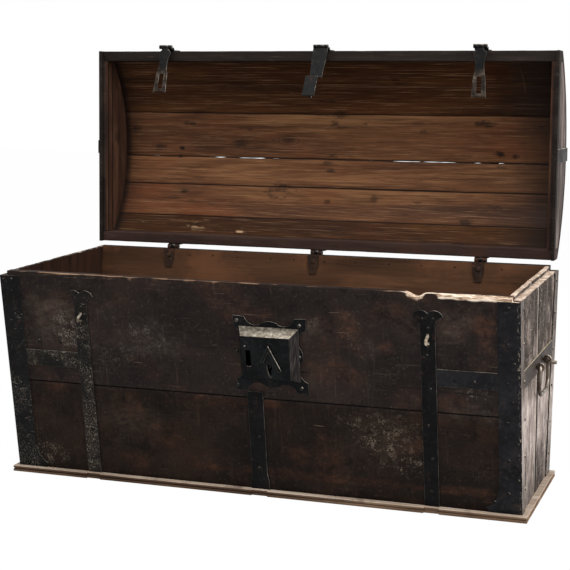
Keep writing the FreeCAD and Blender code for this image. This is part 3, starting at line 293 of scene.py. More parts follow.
class Paint:
    """A node material, built up by small steps that each return a socket."""

    def __init__(self, name, rough=0.7, metallic=0.0, specular=0.06):
        self.material = bpy.data.materials.new(name)
        self.material.use_nodes = True
        self.tree = self.material.node_tree
        self.tree.nodes.clear()
        look = {"Roughness": rough, "Metallic": metallic, "Specular IOR Level": specular}
        self.shader = self.add("BsdfPrincipled", look)
        self.add("OutputMaterial", {0: self.shader.outputs[0]})
        self.place = self.add("TexCoord").outputs["Object"]
        seed = self.attribute("seed")
        offset = self.combine(self.times(seed, 1.713), self.times(seed, 0.371), self.times(seed, 0.913))
        self.here = self.vector("ADD", self.place, offset)
        self.x, self.y, self.z = self.add("SeparateXYZ", {0: self.place}).outputs

    def add(self, kind, inputs=(), **settings):
        return wire(self.tree, kind, inputs, **settings)

    def put(self, key, value):
        """Link or set an input of the shader."""
        if isinstance(value, bpy.types.NodeSocket):
            self.tree.links.new(value, self.shader.inputs[key])
        else:
            self.shader.inputs[key].default_value = value

    def attribute(self, name):
        return self.add("Attribute", attribute_name=name).outputs["Fac"]

    def math(self, operation, a, b=0.0, clamp=False):
        return self.add("Math", {0: a, 1: b}, operation=operation, use_clamp=clamp).outputs[0]

    def times(self, a, b, clamp=False):
        return self.math("MULTIPLY", a, b, clamp)

    def plus(self, a, b, clamp=False):
        return self.math("ADD", a, b, clamp)

    def minus(self, a, b):
        return self.math("SUBTRACT", a, b)

    def larger(self, a, b):
        return self.math("MAXIMUM", a, b)

    def absolute(self, a):
        return self.math("ABSOLUTE", a)

    def spread(self, value, amount):
        """A noise value about its middle, widened by an amount."""
        return self.times(self.minus(value, 0.5), amount)

    def total(self, first, *others):
        """The sum of some values, each with its weight."""
        result = self.times(*first)
        for value, weight in others:
            result = self.plus(result, self.times(value, weight))
        return result

    def vector(self, operation, a, b):
        return self.add("VectorMath", {0: a, 1: b}, operation=operation).outputs[0]

    def combine(self, x, y, z):
        return self.add("CombineXYZ", {0: x, 1: y, 2: z}).outputs[0]

    def facing(self, x, y, z):
        """How far the piece's surface looks along a direction of its own frame."""
        normal = self.add("TexCoord").outputs["Normal"]
        way = Vector((x, y, z)).normalized()
        return self.add("VectorMath", {0: normal, 1: way}, operation="DOT_PRODUCT").outputs["Value"]

    def patches(self, spots, wobble):
        """The strongest of several soft patches, each x, z, width, height in mm and a strength."""
        total = None
        for x, z, width, height, strength in spots:
            far = self.vector("SUBTRACT", self.place, (x * MM, 0, z * MM))
            far = self.vector("MULTIPLY", far, (1000 / width, 0, 1000 / height))
            far = self.add("VectorMath", {0: far}, operation="LENGTH").outputs["Value"]
            one = self.step(self.plus(far, wobble), 1.0, 0.3, 0, strength)
            total = one if total is None else self.larger(total, one)
        return total

    def wobble(self, scale, amount, shift=0.0):
        return self.spread(self.noise(scale, 5, 0.62, shift=shift), amount)

    def stretched(self, stretch, shift):
        """The place that a texture is read at."""
        where = self.vector("MULTIPLY", self.here, stretch)
        return self.vector("ADD", where, (shift, shift * 0.7, shift * 1.3))

    def noise(self, scale, detail, roughness, stretch=(1, 1, 1), shift=0.0, distort=0.0):
        inputs = {"Vector": self.stretched(stretch, shift), "Scale": scale, "Detail": detail}
        inputs.update({"Roughness": roughness, "Distortion": distort})
        return self.add("TexNoise", inputs).outputs["Fac"]

    def cells(self, scale, stretch, shift):
        inputs = {"Vector": self.stretched(stretch, shift), "Scale": scale, "Randomness": 1.0}
        return self.add("TexVoronoi", inputs, feature="F1").outputs["Distance"]

    def step(self, value, low, high, out_low=0.0, out_high=1.0):
        inputs = {"Value": value, "From Min": low, "From Max": high, "To Min": out_low, "To Max": out_high}
        return self.add("MapRange", inputs, interpolation_type="SMOOTHSTEP").outputs[0]

    def both(self, one, other):
        """The product of two steps."""
        return self.times(self.step(*one), self.step(*other))

    def ramp(self, value, places, *colours):
        node = self.add("ValToRGB", {0: value})
        elements = node.color_ramp.elements
        while len(elements) < len(places):
            elements.new(0.5)
        for element, place, colour in zip(elements, places, colours):
            element.position = place
            element.color = linear(*colour)
        return node.outputs[0]

    def mix(self, amount, a, b, mode="MIX"):
        """Blend two colours, each a socket, three screen values or four linear ones."""
        inputs = {"Factor": amount, 6: a, 7: b}
        for key in (6, 7):
            if isinstance(inputs[key], (tuple, list)) and len(inputs[key]) == 3:
                inputs[key] = linear(*inputs[key])
        return self.add("Mix", inputs, data_type="RGBA", blend_type=mode).outputs[2]

    def cover(self, below, colour, value, low, high, strength=1.0):
        """A colour laid over the one below where a value passes from low to high."""
        return self.mix(self.step(value, low, high, 0, strength), below, colour)

    def coats(self, below, *coats):
        """Colours laid one over the other, each as for cover."""
        for coat in coats:
            below = self.cover(below, *coat)
        return below

    def worn_edge(self, colour, raw, figure, amount, low=0.3, high=0.6):
        """The raw wood that shows where the mesh says that an edge is worn."""
        worn = self.attribute("worn")
        edge = self.plus(worn, self.spread(figure, amount), True)
        return self.mix(self.both((edge, low, high), (worn, 0.02, 0.2)), colour, raw)

    def done(self, colour, height, strength, distance, roughness=None):
        """Give the shader its colour, its bump and its roughness."""
        self.put("Base Color", colour)
        if roughness is not None:
            self.put("Roughness", roughness)
        inputs = {"Strength": strength, "Distance": distance, "Height": height}
        self.put("Normal", self.add("Bump", inputs).outputs[0])
        return self.material


def along(axis, run, across):
    return tuple(run if i == axis else across for i in range(3))


def grain(paint, axis, run=1.6, across=34.0):
    """Three scales of fibre along an axis: broad figure, streaks and fine fibre."""
    broad = paint.noise(1.0, 5, 0.6, along(axis, run, across * 0.35), 0, 0.5)
    streak = paint.noise(1.0, 6, 0.65, along(axis, run * 1.8, across * 1.6), 3, 0.2)
    fine = paint.noise(1.0, 4, 0.7, along(axis, run * 9, across * 9), 9)
    return broad, streak, fine


def stained_wood(name, side, tones, warm=(), lime=(), grey=()):
    """Dark stained boards of the front (side -1) or the back, with rubbed patches, haze and lime specks."""
    p = Paint(name, 0.74)
    broad, streak, fine = grain(p, 0)
    cloud = p.noise(4.4, 6, 0.62, (1, 1.3, 1.3), 2)
    mottle = p.noise(19, 6, 0.68, (1, 1, 1), 12)
    speck = p.noise(150, 4, 0.72, (1, 1, 1), 5)
    base = p.ramp(cloud, (0.32, 0.5, 0.68), (20, 17, 16), (33, 27, 25), (46, 37, 33))
    rubbed = p.ramp(mottle, (0.32, 0.52, 0.7), (34, 24, 21), (58, 39, 31), (82, 56, 43))
    amount = p.step(p.noise(5.6, 5, 0.62, (1, 1.5, 1.5), 22), 0.5, 0.68, 0, 0.55)
    if warm:
        amount = p.larger(amount, p.patches(warm, p.wobble(14, 2.2, 31)))
    amount = p.times(amount, p.step(p.noise(1, 6, 0.76, (40, 70, 70), 37), 0.42, 0.57, 0.45, 1.2))
    colour = p.mix(amount, base, rubbed)
    haze = p.step(p.noise(8.5, 5, 0.64, shift=41), 0.54, 0.72, 0, 0.3)
    if grey:
        haze = p.larger(haze, p.patches(grey, p.wobble(16, 2.0, 43)))
    cloth = p.noise(1, 6, 0.78, (46, 95, 95), 47)
    haze = p.times(haze, p.step(cloth, 0.42, 0.58, 0.35, 1.35))
    ash = p.ramp(mottle, (0.35, 0.68), (44, 38, 34), (84, 74, 66))
    colour = p.mix(haze, colour, ash)
    colour = p.coats(
        colour,
        ((17, 14, 14), mottle, 0.47, 0.33, 0.6),
        ((80, 66, 57), speck, 0.55, 0.72, 0.5),
        ((12, 10, 10), speck, 0.43, 0.3, 0.5),
        ((82, 66, 56), p.noise(1.0, 4, 0.65, (150, 8, 8), 6), 0.57, 0.75, 0.3),
        ((88, 72, 62), p.noise(1.0, 4, 0.65, (9, 190, 190), 16), 0.6, 0.76, 0.35),
    )
    grains = p.step(p.noise(260, 3, 0.75, shift=5), 0.6, 0.68)
    dirt = p.step(p.noise(9, 5, 0.66, shift=8), 0.58, 0.7, 0, 0.5)
    if lime:
        dirt = p.larger(dirt, p.patches(lime, p.wobble(24, 2.6, 51)))
    colour = p.mix(p.times(grains, p.times(dirt, 0.75)), colour, (150, 139, 126))
    if lime:
        # Thin curling marks of whitewash within the limed patches.
        vein = p.absolute(p.minus(p.noise(85, 3, 0.62, shift=91, distort=0.8), 0.5))
        vein = p.both((vein, 0.05, 0.015), (p.noise(45, 4, 0.66, shift=95), 0.48, 0.58))
        colour = p.mix(p.times(vein, p.patches(lime, p.wobble(18, 2.4, 55))), colour, (124, 116, 107))
    scratch = p.step(p.noise(1.0, 2, 0.5, (5, 150, 260), 61, 0.6), 0.735, 0.76)
    colour = p.mix(p.times(scratch, 0.6), colour, (140, 122, 106))
    crack = p.step(p.noise(1.0, 3, 0.5, (3.0, 95, 95), 21), 0.69, 0.735)
    colour = p.mix(p.times(crack, 0.8), colour, (9, 8, 8))
    # The joint between the two boards is a dark line, and the lower board is painted darker, as painted
    # shade.
    joint = p.plus(p.absolute(p.minus(p.z, JOINT * MM)), p.wobble(30, 0.002, 71))
    colour = p.cover(colour, (9, 7, 7), joint, 0.0026, 0.0009, 0.95)
    # Painted shade: below the joint the colour is darkened.
    colour = p.cover(colour, p.mix(1.0, colour, (0.74, 0.66, 0.58, 1), "MULTIPLY"), p.z, 0.255, 0.235)
    # How far a place is off the wall's outer face; the inner face lies 25 mm behind it.
    off = p.times(p.math("ADD" if side < 0 else "SUBTRACT", p.y, RIM_HALF * MM), side * COS)
    off = p.minus(off, p.times(p.minus(p.z, RIM * MM), SIN))
    inside = p.ramp(broad, (0.28, 0.52, 0.75), *tones)
    inside = p.cover(inside, tones[0], fine, 0.35, 0.7, 0.35)
    inside = p.cover(inside, p.mix(1.0, inside, (1.5, 1.5, 1.45, 1), "MULTIPLY"), p.x, -0.05, 0.4)
    inside = p.coats(
        inside,
        ((30, 21, 17), p.noise(1, 5, 0.62, (2, 22, 22), 17), 0.56, 0.74, 0.7),
        ((112, 72, 48), p.noise(5, 5, 0.6, (1, 1.4, 1.4), 19), 0.52, 0.7, 0.5),
    )
    colour = p.mix(p.step(off, -0.020, -0.024), colour, inside)
    raw = p.ramp(streak, (0.3, 0.5, 0.68), (68, 48, 38), (136, 106, 84), (206, 176, 146))
    flaky = p.noise(1, 6, 0.74, (22, 130, 130), 33)
    cream = p.ramp(flaky, (0.36, 0.46, 0.56), (72, 50, 38), (168, 138, 112), (236, 218, 198))
    raw = p.cover(raw, cream, p.x, 0.34, 0.42)
    colour = p.worn_edge(colour, raw, streak, 1.3)
    height = p.minus(p.total((streak, 0.4), (mottle, 0.6), (speck, 0.25)), p.times(crack, 0.9))
    return p.done(colour, height, 0.6, 0.0014, p.step(cloud, 0.3, 0.7, 0.58, 0.8))


def end_wood(name, pale):
    """Upright end boards: stained, or bleached grey where the stain has gone."""
    p = Paint(name, 0.76)
    broad, streak = grain(p, 2)[:2]
    mottle = p.noise(17, 6, 0.68, (1, 1.2, 0.8), 2)
    speck = p.noise(150, 4, 0.72, shift=5)
    stain = ((24, 19, 18), (46, 37, 33), (84, 70, 60))
    if pale > 0.5:
        stain = ((34, 28, 26), (66, 57, 51), (112, 99, 90))
    dark = p.ramp(mottle, (0.32, 0.52, 0.72), *stain)
    patchy = p.plus(p.times(streak, 0.5), p.times(p.noise(1, 6, 0.78, (48, 48, 26), 27), 0.5))
    light = p.ramp(patchy, (0.34, 0.48, 0.64), (76, 64, 59), (160, 145, 138), (218, 207, 199))
    # Stained above the band, scoured pale in the middle, half scoured near the bottom.
    high = p.plus(p.z, p.wobble(9, 0.10, 44))
    scoured = p.both((high, 0.34, 0.24), (high, 0.08, 0.18, 0.22, 1.0))
    amount = p.plus(p.times(scoured, 0.8), p.times(p.minus(mottle, 0.48), 2.2), True)
    amount = p.larger(amount, p.step(speck, 0.54, 0.68, 0, 0.5))
    colour = p.mix(p.times(amount, pale), dark, light)
    stroke = p.noise(1.0, 5, 0.7, (90, 90, 5), 5)
    broad_stroke = p.noise(1.0, 4, 0.62, (42, 42, 8), 15)
    colour = p.coats(
        colour,
        ((34, 27, 26), stroke, 0.56, 0.66, 0.8),
        ((30, 24, 22), broad_stroke, 0.6, 0.72, 0.7),
        ((24, 20, 19), speck, 0.44, 0.3, 0.6),
    )
    grains = p.both((p.noise(210, 3, 0.75, shift=5), 0.58, 0.66), (p.noise(14, 4, 0.62, shift=8), 0.45, 0.6))
    colour = p.mix(p.times(grains, 0.35 + 0.4 * pale), colour, (214, 202, 188))
    # The open joint between the two boards, with its arris worn pale towards the front, and painted shade in
    # a dark band much wider than the gap.
    joint = p.plus(p.plus(p.y, 0.0075), p.wobble(26, 0.006, 33))
    arris = p.step(p.absolute(p.plus(joint, 0.013)), 0.006, 0.002)
    colour = p.mix(p.times(arris, 0.55 * pale), colour, (186, 172, 158))
    # Painted shade: the joint is painted dark over a band much wider than its 2 mm gap, widest towards the
    # bottom.
    gap = p.minus(p.absolute(joint), p.step(p.z, 0.36, 0.30, 0.0045, 0.0085))
    colour = p.cover(colour, (14, 11, 10), gap, 0.002, -0.001, 0.95)
    inside = p.ramp(broad, (0.28, 0.52, 0.75), (34, 21, 16), (48, 31, 23), (70, 46, 34))
    inside = p.cover(inside, (24, 16, 13), broad_stroke, 0.52, 0.68, 0.6)
    colour = p.cover(colour, inside, p.absolute(p.x), 0.6265, 0.6235)
    raw = p.ramp(streak, (0.28, 0.48, 0.68), (96, 78, 66), (176, 154, 136), (230, 214, 196))
    colour = p.worn_edge(colour, raw, mottle, 1.5)
    return p.done(colour, p.total((streak, 0.5), (mottle, 0.6), (speck, 0.3)), 0.7, 0.0018, 0.78)


def lid_wood(name):
    """Bare softwood of the lid: warm inside, stained dark outside, with knots and streaks."""
    p = Paint(name, 0.66, specular=0.08)
    broad, streak, fine = grain(p, 0, 1.1, 30)
    figure = p.noise(1.0, 3, 0.5, (0.9, 9, 9), 31, 1.4)
    rings = p.math("SINE", p.times(figure, 46.0))
    tone = p.attribute("tone")
    inside = p.ramp(broad, (0.25, 0.5, 0.75), (50, 30, 20), (88, 57, 39), (126, 90, 64))
    knot = p.cells(5.4, (0.62, 1.5, 1.5), shift=1.5)
    inside = p.coats(
        inside,
        ((52, 31, 21), rings, -0.2, 0.9, 0.32),
        ((44, 27, 19), streak, 0.52, 0.7, 0.6),
        ((142, 104, 76), fine, 0.5, 0.72, 0.45),
        ((42, 26, 18), fine, 0.44, 0.3, 0.4),
        ((100, 54, 33), p.noise(4.0, 4, 0.6, (0.7, 1.6, 1.6), 11), 0.5, 0.72, 0.5),
        ((26, 17, 14), p.plus(knot, p.wobble(60, 0.05, 3)), 0.085, 0.03, 0.55),
    )
    marks = p.patches(KNOTS, p.plus(p.wobble(55, 1.5, 85), p.wobble(160, 0.7, 87)))
    inside = p.mix(marks, inside, (25, 16, 13))
    # A long curved scratch near the right-hand end.
    fall = p.minus(1.031, p.z)
    bow = p.times(p.times(fall, p.minus(p.z, 0.966)), 4.0)
    away = p.minus(p.minus(p.x, 0.529), p.plus(p.times(fall, 0.14), bow))
    scratch = p.step(p.absolute(away), 0.0026, 0.0009)
    scratch = p.times(scratch, p.both((p.z, 0.962, 0.972), (p.z, 1.036, 1.028)))
    inside = p.mix(p.times(scratch, 0.5), inside, (156, 128, 104))
    around = p.math("SINE", p.times(knot, 130.0))
    around = p.both((around, 0.0, 0.9, 0, 0.5), (knot, 0.2, 0.08))
    inside = p.mix(around, inside, (44, 27, 19))
    smear, cloud = p.noise(1, 5, 0.66, (7, 60, 60), 40), p.noise(3.4, 4, 0.6, (1, 1.5, 1.5), 50)
    smear = p.both((smear, 0.57, 0.7), (cloud, 0.47, 0.6))
    inside = p.mix(p.times(smear, 0.8), inside, (32, 22, 17))
    inside = p.cover(inside, (38, 25, 20), p.noise(11, 5, 0.66, (0.7, 1.7, 1.7), 57), 0.63, 0.71, 0.75)
    # The tone attribute: staves lighter or darker, with painted shade multiplied into the dark ones.
    shade = p.plus(p.times(tone, 0.5), 0.5, True)
    inside = p.mix(1.0, inside, p.combine(shade, shade, shade), "OVERLAY")
    painted_shade_depth = p.times(tone, -2.5, True)
    inside = p.mix(painted_shade_depth, inside, (0.64, 0.54, 0.38, 1), "MULTIPLY")
    inside = p.mix(1.0, inside, (1.0, 0.98, 0.86, 1), "MULTIPLY")
    hair = p.noise(1.0, 5, 0.72, (6, 300, 300), 71)
    # Painted shade: the wood is painted darkest towards both ends, next to the lid's end boards.
    away = p.plus(p.absolute(p.plus(p.x, 0.05)), p.wobble(7, 0.16, 61))
    inside = p.coats(
        inside,
        ((40, 26, 17), hair, 0.52, 0.66, 0.55),
        ((150, 114, 84), hair, 0.46, 0.34, 0.35),
        ((25, 19, 17), away, 0.48, 0.66, 0.78),
        ((20, 14, 12), p.absolute(p.x), 0.598, 0.617, 0.8),
    )
    pale = p.patches(LID_MARKS, p.wobble(60, 2.4, 65))
    inside = p.mix(p.times(pale, p.step(streak, 0.42, 0.56)), inside, (196, 160, 122))
    # The radius from the vault's axis parts the inner face from the outer one.
    axis = lid(0, 0, LID_Z - VAULT_DROP) * MM
    dy, dz = p.minus(p.y, axis.y), p.minus(p.z, axis.z)
    radius = p.math("SQRT", p.plus(p.times(dy, dy), p.times(dz, dz)))
    outside = p.ramp(broad, (0.3, 0.52, 0.75), (26, 21, 19), (42, 32, 28), (66, 48, 39))
    outside = p.coats(
        outside,
        ((80, 54, 40), p.noise(6, 4, 0.6, shift=4), 0.5, 0.7, 0.6),
        ((22, 18, 17), streak, 0.6, 0.75, 0.6),
    )
    colour = p.cover(inside, outside, radius, 0.3775, 0.3815)
    # On the lid the attribute is negative at the seams, which are dark.
    dark = p.plus(p.times(p.attribute("worn"), -1.0), p.spread(streak, 0.7))
    colour = p.cover(colour, (20, 13, 10), dark, 0.55, 0.85, 0.92)
    height = p.total((streak, 0.5), (rings, 0.12), (fine, 0.4))
    return p.done(colour, height, 0.5, 0.001, p.step(broad, 0.3, 0.7, 0.55, 0.75))


def rail_wood(name, tones, inner=None):
    """Stained wood of the rails, and of the lid's end boards, whose inner faces are warm."""
    p = Paint(name, 0.7)
    broad, streak, fine = grain(p, 0, 1.4, 32)
    colour = p.ramp(broad, (0.28, 0.52, 0.76), *tones[:3])
    colour = p.coats(
        colour,
        ((24, 19, 18), streak, 0.55, 0.72, 0.55),
        (tones[3], p.noise(9, 4, 0.6, shift=4), 0.55, 0.72, 0.6),
        ((110, 94, 84), fine, 0.55, 0.75, 0.3),
    )
    colour = p.worn_edge(colour, (150, 118, 92), streak, 0.8, 0.35, 0.65)
    if inner:
        # Height above the shut lid's rim, and the board's warm inner face.
        high = p.times(p.minus(p.y, HINGE[0] * MM), math.sin(OPEN))
        high = p.minus(high, p.times(p.minus(p.z, HINGE[1] * MM), -math.cos(OPEN)))
        tall = p.noise(1.0, 5, 0.66, (30, 30, 5), 3)
        warm = p.ramp(tall, (0.28, 0.5, 0.72), *inner)
        warm = p.cover(warm, (24, 17, 14), p.noise(12, 5, 0.66, (1, 1, 0.5), 27), 0.58, 0.7, 0.8)
        for level in (0.004, 0.030):
            line = p.absolute(p.minus(high, level))
            warm = p.cover(warm, (17, 13, 12), line, 0.004, 0.0015, 0.85)
        colour = p.cover(colour, warm, p.absolute(p.x), 0.6275, 0.6225)
        outer = p.ramp(tall, (0.3, 0.48, 0.68), (38, 32, 30), (84, 74, 70), (140, 126, 120))
        colour = p.cover(colour, outer, p.absolute(p.x), 0.6385, 0.6405)
    return p.done(colour, p.total((streak, 0.6), (fine, 0.4)), 0.5, 0.0012)


def base_wood(name):
    """Bottom boards: warm brown edge, with a top painted pale, as worn wood and as painted light from above.
    """
    p = Paint(name, 0.72)
    broad, streak, fine = grain(p, 0, 2.0, 40)
    colour = p.ramp(broad, (0.28, 0.52, 0.75), (48, 36, 28), (80, 60, 46), (112, 90, 70))
    light = p.ramp(broad, (0.28, 0.52, 0.75), (78, 60, 47), (120, 96, 76), (158, 134, 112))
    colour = p.coats(
        colour,
        (light, p.x, -0.1, 0.45),
        ((36, 27, 22), streak, 0.54, 0.7, 0.7),
    )
    # The top face is painted pale: worn wood, with painted light from above.
    top = p.plus(p.step(p.z, 0.0118, 0.0148), p.spread(streak, 0.8), True)
    light = p.ramp(streak, (0.25, 0.55, 0.8), (126, 104, 88), (186, 168, 150), (214, 200, 186))
    colour = p.cover(colour, light, top, 0.35, 0.7)
    groove = p.step(p.absolute(p.minus(p.z, 0.0075)), 0.0022, 0.0008)
    colour = p.mix(p.times(groove, p.step(p.x, -0.1, 0.45, 0.8, 0.35)), colour, (24, 19, 17))
    colour = p.cover(colour, (70, 52, 42), p.noise(14, 4, 0.6, shift=4), 0.55, 0.7, 0.5)
    # Inside the chest the bottom is as brown as the walls that stand on it.
    inside = p.both((p.absolute(p.x), 0.630, 0.626), (p.absolute(p.y), 0.180, 0.172))
    brown = p.ramp(broad, (0.28, 0.52, 0.75), (40, 27, 20), (62, 43, 31), (86, 60, 43))
    brown = p.cover(brown, (30, 22, 17), streak, 0.54, 0.7, 0.6)
    colour = p.mix(p.times(inside, p.step(p.z, 0.013, 0.0145)), colour, brown)
    return p.done(colour, p.total((streak, 0.6), (fine, 0.4)), 0.6, 0.0014)


def iron(name, tones, rust, lime=0.0, rough=(0.42, 0.66), metallic=0.5, lit=0.0, top=None, right=None,
         line=(176, 166, 152), floor=0.12, arris=0.0, low=None, way=(0.62, -0.1, 0.78), pits=0.6):
    """Forged iron: black scale, rust blooms and pale grains, with painted highlights.

    Faces that look along way get a painted highlight of the colour line; top and right are the
    tones painted on faces that look up or right, as painted light; arris is for a bare right-hand
    corner, and low is a height with the tones of a rubbed foot below it.
    """
    p = Paint(name, 0.5, metallic, 0.08)
    cloud = p.noise(14, 6, 0.64)
    fine = p.noise(110, 4, 0.68, shift=3)
    grains = p.noise(300, 3, 0.75, shift=7)
    colour = p.ramp(cloud, (0.3, 0.5, 0.7), *tones[:3])
    colour = p.coats(
        colour,
        (tones[3], fine, 0.54, 0.72, 0.45),
        ([v * 0.55 for v in tones[0]], fine, 0.45, 0.3, 0.6),
    )
    bloom = p.both((p.noise(24, 5, 0.68, shift=12), 0.55, 0.68), (fine, 0.42, 0.6))
    colour = p.mix(p.times(bloom, rust), colour, (84, 50, 33))
    if lime:
        field = p.both((p.noise(15, 5, 0.68, shift=22), 0.42, 0.57), (p.z, 0.425, 0.395))
        crust = p.times(p.step(p.noise(1, 4, 0.78, (330, 330, 230), 7), 0.53, 0.64), field)
        colour = p.mix(p.times(crust, lime), colour, (146, 137, 122))
        crust = p.times(p.step(p.noise(150, 4, 0.74, shift=27), 0.55, 0.64), field)
        colour = p.mix(p.times(crust, lime * 0.8), colour, (74, 62, 50))
        flake, spot = p.noise(1, 3, 0.6, (60, 60, 210), 37), p.noise(25, 4, 0.6, shift=39)
        flake = p.both((flake, 0.62, 0.68), (spot, 0.5, 0.6))
        colour = p.mix(p.times(flake, lime), colour, (142, 132, 118))
    if lit:
        # Painted highlight: faces that look along way are painted towards the pale colour line.
        edge = p.step(p.facing(*way), 0.5, 0.85)
        edge = p.times(edge, p.step(p.noise(34, 5, 0.7, shift=51), 0.40, 0.56, floor, lit))
        colour = p.mix(edge, colour, line)
    if arris:
        near = p.both((p.absolute(p.x), 0.642, 0.650), (p.noise(1, 4, 0.75, (230, 230, 90), 81), 0.55, 0.66))
        colour = p.mix(p.times(near, arris), colour, (186, 172, 154))
    if low:
        rubbed = p.ramp(p.noise(60, 5, 0.7, shift=83), (0.32, 0.5, 0.68), *low[1:])
        colour = p.cover(colour, rubbed, p.z, low[0] + 0.012, low[0], 0.85)
    # Painted light: faces that look up get a painted highlight, and faces that look right their own lit
    # tones.
    for face, side in ((top, (0, 0, 1)), (right, (1, 0, 0))):
        if face:
            brushed = p.noise(1.0, 4, 0.68, (160, 160, 30) if face is right else (110, 110, 110), 61)
            rubbed = p.ramp(brushed, (0.32, 0.5, 0.68), *face)
            if arris:
                bare = p.ramp(brushed, (0.34, 0.5, 0.64), (84, 72, 66), (158, 142, 134), (206, 194, 184))
                rubbed = p.mix(p.both((p.z, 0.32, 0.25), (p.z, 0.08, 0.16, 0.2, 0.9)), rubbed, bare)
            rubbed = p.cover(rubbed, [v * 0.5 for v in face[0]], fine, 0.58, 0.7, 0.5)
            colour = p.cover(colour, rubbed, p.facing(*side), 0.6, 0.7)
    p.put("Metallic", p.times(p.step(bloom, 0.0, 0.6, 1.0, 0.2), metallic))
    height = p.total((cloud, 0.6), (fine, 0.3 + 0.3 * lime), (grains, 0.06 + 0.3 * lime))
    return p.done(colour, height, pits, 0.0014, p.step(cloud, 0.35, 0.7, *rough))


# Patches seen on the front: x, z, half width, half height in mm, and strength.
WARM = (
    (-505, 430, 90, 75, 0.45), (-324, 204, 70, 60, 0.6), (-235, 130, 80, 50, 0.55),
    (-420, 120, 60, 70, 0.4), (243, 434, 45, 60, 0.6), (239, 324, 70, 45, 0.75), (341, 483, 60, 40, 0.5),
    (571, 455, 32, 60, 0.95), (500, 470, 60, 50, 0.45), (195, 110, 60, 70, 0.6), (340, 395, 30, 25, 0.8),
    (-41, 232, 70, 14, 0.7), (30, 236, 60, 16, 0.9), (120, 60, 420, 18, 0.85), (533, 60, 90, 16, 0.8),
    (-527, 245, 40, 30, 0.7),
)
LIME = (
    (-482, 388, 55, 60, 0.8), (-277, 396, 40, 26, 0.55), (-242, 372, 36, 30, 0.3),
    (330, 170, 110, 70, 0.75), (268, 205, 70, 40, 0.45), (392, 118, 45, 55, 0.65),
    (372, 205, 50, 40, 0.6), (-560, 60, 60, 40, 0.6), (545, 300, 45, 25, 0.5), (150, 440, 40, 25, 0.5),
    (-360, 330, 120, 60, 0.15),
)
GREY = (
    (-520, 420, 90, 80, 0.45), (-240, 380, 110, 70, 0.3), (340, 170, 140, 80, 0.22),
    (150, 430, 70, 50, 0.4), (470, 460, 100, 50, 0.35), (-330, 170, 110, 70, 0.3),
    (540, 250, 90, 40, 0.3),
)
# Knots and dark smudges inside the lid.
KNOTS = (
    (429, 885, 34, 12, 0.85), (470, 806, 20, 11, 0.95), (512, 799, 14, 9, 0.8), (-9, 771, 20, 7, 0.7),
    (-2, 749, 18, 7, 0.8), (131, 675, 14, 20, 0.5), (390, 625, 26, 10, 0.8), (-2, 666, 12, 8, 0.6),
    (-418, 876, 26, 8, 0.8), (-588, 856, 22, 14, 0.6), (-448, 804, 12, 8, 1.0), (-451, 781, 11, 6, 0.95),
    (-270, 822, 36, 16, 0.7), (-517, 806, 26, 14, 0.7), (-429, 684, 20, 7, 0.9), (-127, 838, 28, 10, 0.5),
    (30, 905, 30, 16, 0.6), (250, 884, 26, 9, 0.4),
)
# Pale marks inside the lid.
LID_MARKS = (
    (-388, 601, 16, 6, 0.9), (-376, 586, 14, 7, 1.0), (-354, 584, 16, 6, 0.8), (-348, 606, 12, 4, 0.8),
    (-232, 592, 14, 5, 0.8), (-238, 581, 18, 5, 0.8), (-398, 590, 8, 6, 0.6), (-540, 598, 9, 5, 0.5),
)
WOOD = stained_wood("stained_boards_front", -1, ((46, 29, 21), (68, 44, 31), (92, 62, 44)), WARM, LIME, GREY)
WOOD_BACK = stained_wood("stained_boards_back", 1, ((44, 29, 20), (72, 49, 34), (96, 66, 46)))
END_RIGHT = end_wood("bleached_end_boards", 1.0)
END_LEFT = end_wood("stained_end_boards", 0.35)
LID = lid_wood("lid_softwood")
RAIL = rail_wood("lid_rail_wood", ((19, 15, 14), (30, 25, 22), (48, 40, 36), (42, 29, 23)))
RAIL_REAR = rail_wood("lid_rear_rail_wood", ((34, 25, 22), (56, 41, 36), (82, 62, 54), (70, 44, 34)))
LID_END = rail_wood("lid_end_wood", ((26, 20, 18), (42, 33, 30), (60, 48, 42), (54, 38, 31)),
                    ((36, 24, 18), (58, 38, 28), (88, 62, 46)))
BASE = base_wood("bottom_board_wood")
BLACK = ((10, 10, 10), (16, 15, 16), (24, 23, 23), (42, 40, 38))
IRON = iron("black_iron", BLACK, 0.22, lit=0.5)
# Painted highlight: the irons' rounded edges are painted lighter, and pale where they look along way.
EDGE = iron("black_iron_highlit_edges", ((26, 25, 25), (48, 46, 44), (84, 80, 75), (120, 113, 104)), 0.2, lit=0.95,
            metallic=0.6)
CRUSTED = iron("crusted_iron", ((17, 16, 16), (26, 24, 22), (38, 34, 31), (56, 50, 44)), 0.4, 0.66,
               (0.6, 0.8), 0.3)
END_IRON = iron("scoured_end_iron", ((14, 12, 12), (26, 23, 22), (46, 41, 38), (84, 78, 72)), 0.25, 0.2,
                (0.45, 0.7), 0.4)
# Painted light on the lock case: a painted highlight on its faces that look up, and lit tones (SIDE) on those
# that look right; FLANGE is painted light on the corner irons' right-hand faces, which are also scoured bare
# in a band.
TOP_HIGHLIGHT = ((72, 64, 54), (122, 114, 102), (168, 160, 147))
SIDE = ((38, 34, 34), (58, 54, 53), (88, 81, 79))
FLANGE = ((32, 26, 23), (78, 67, 60), (142, 127, 115))
LOCK = iron("lock_iron", ((11, 12, 13), (17, 18, 19), (27, 28, 29), (46, 46, 45)), 0.08, 0.0, (0.36, 0.56),
            0.55,
            lit=0.5, top=TOP_HIGHLIGHT, right=SIDE, pits=0.45)
RUSTY = iron("rusty_iron", ((26, 19, 16), (42, 30, 24), (64, 46, 36), (92, 68, 50)), 0.7, 0.15, (0.5, 0.75),
             0.3)
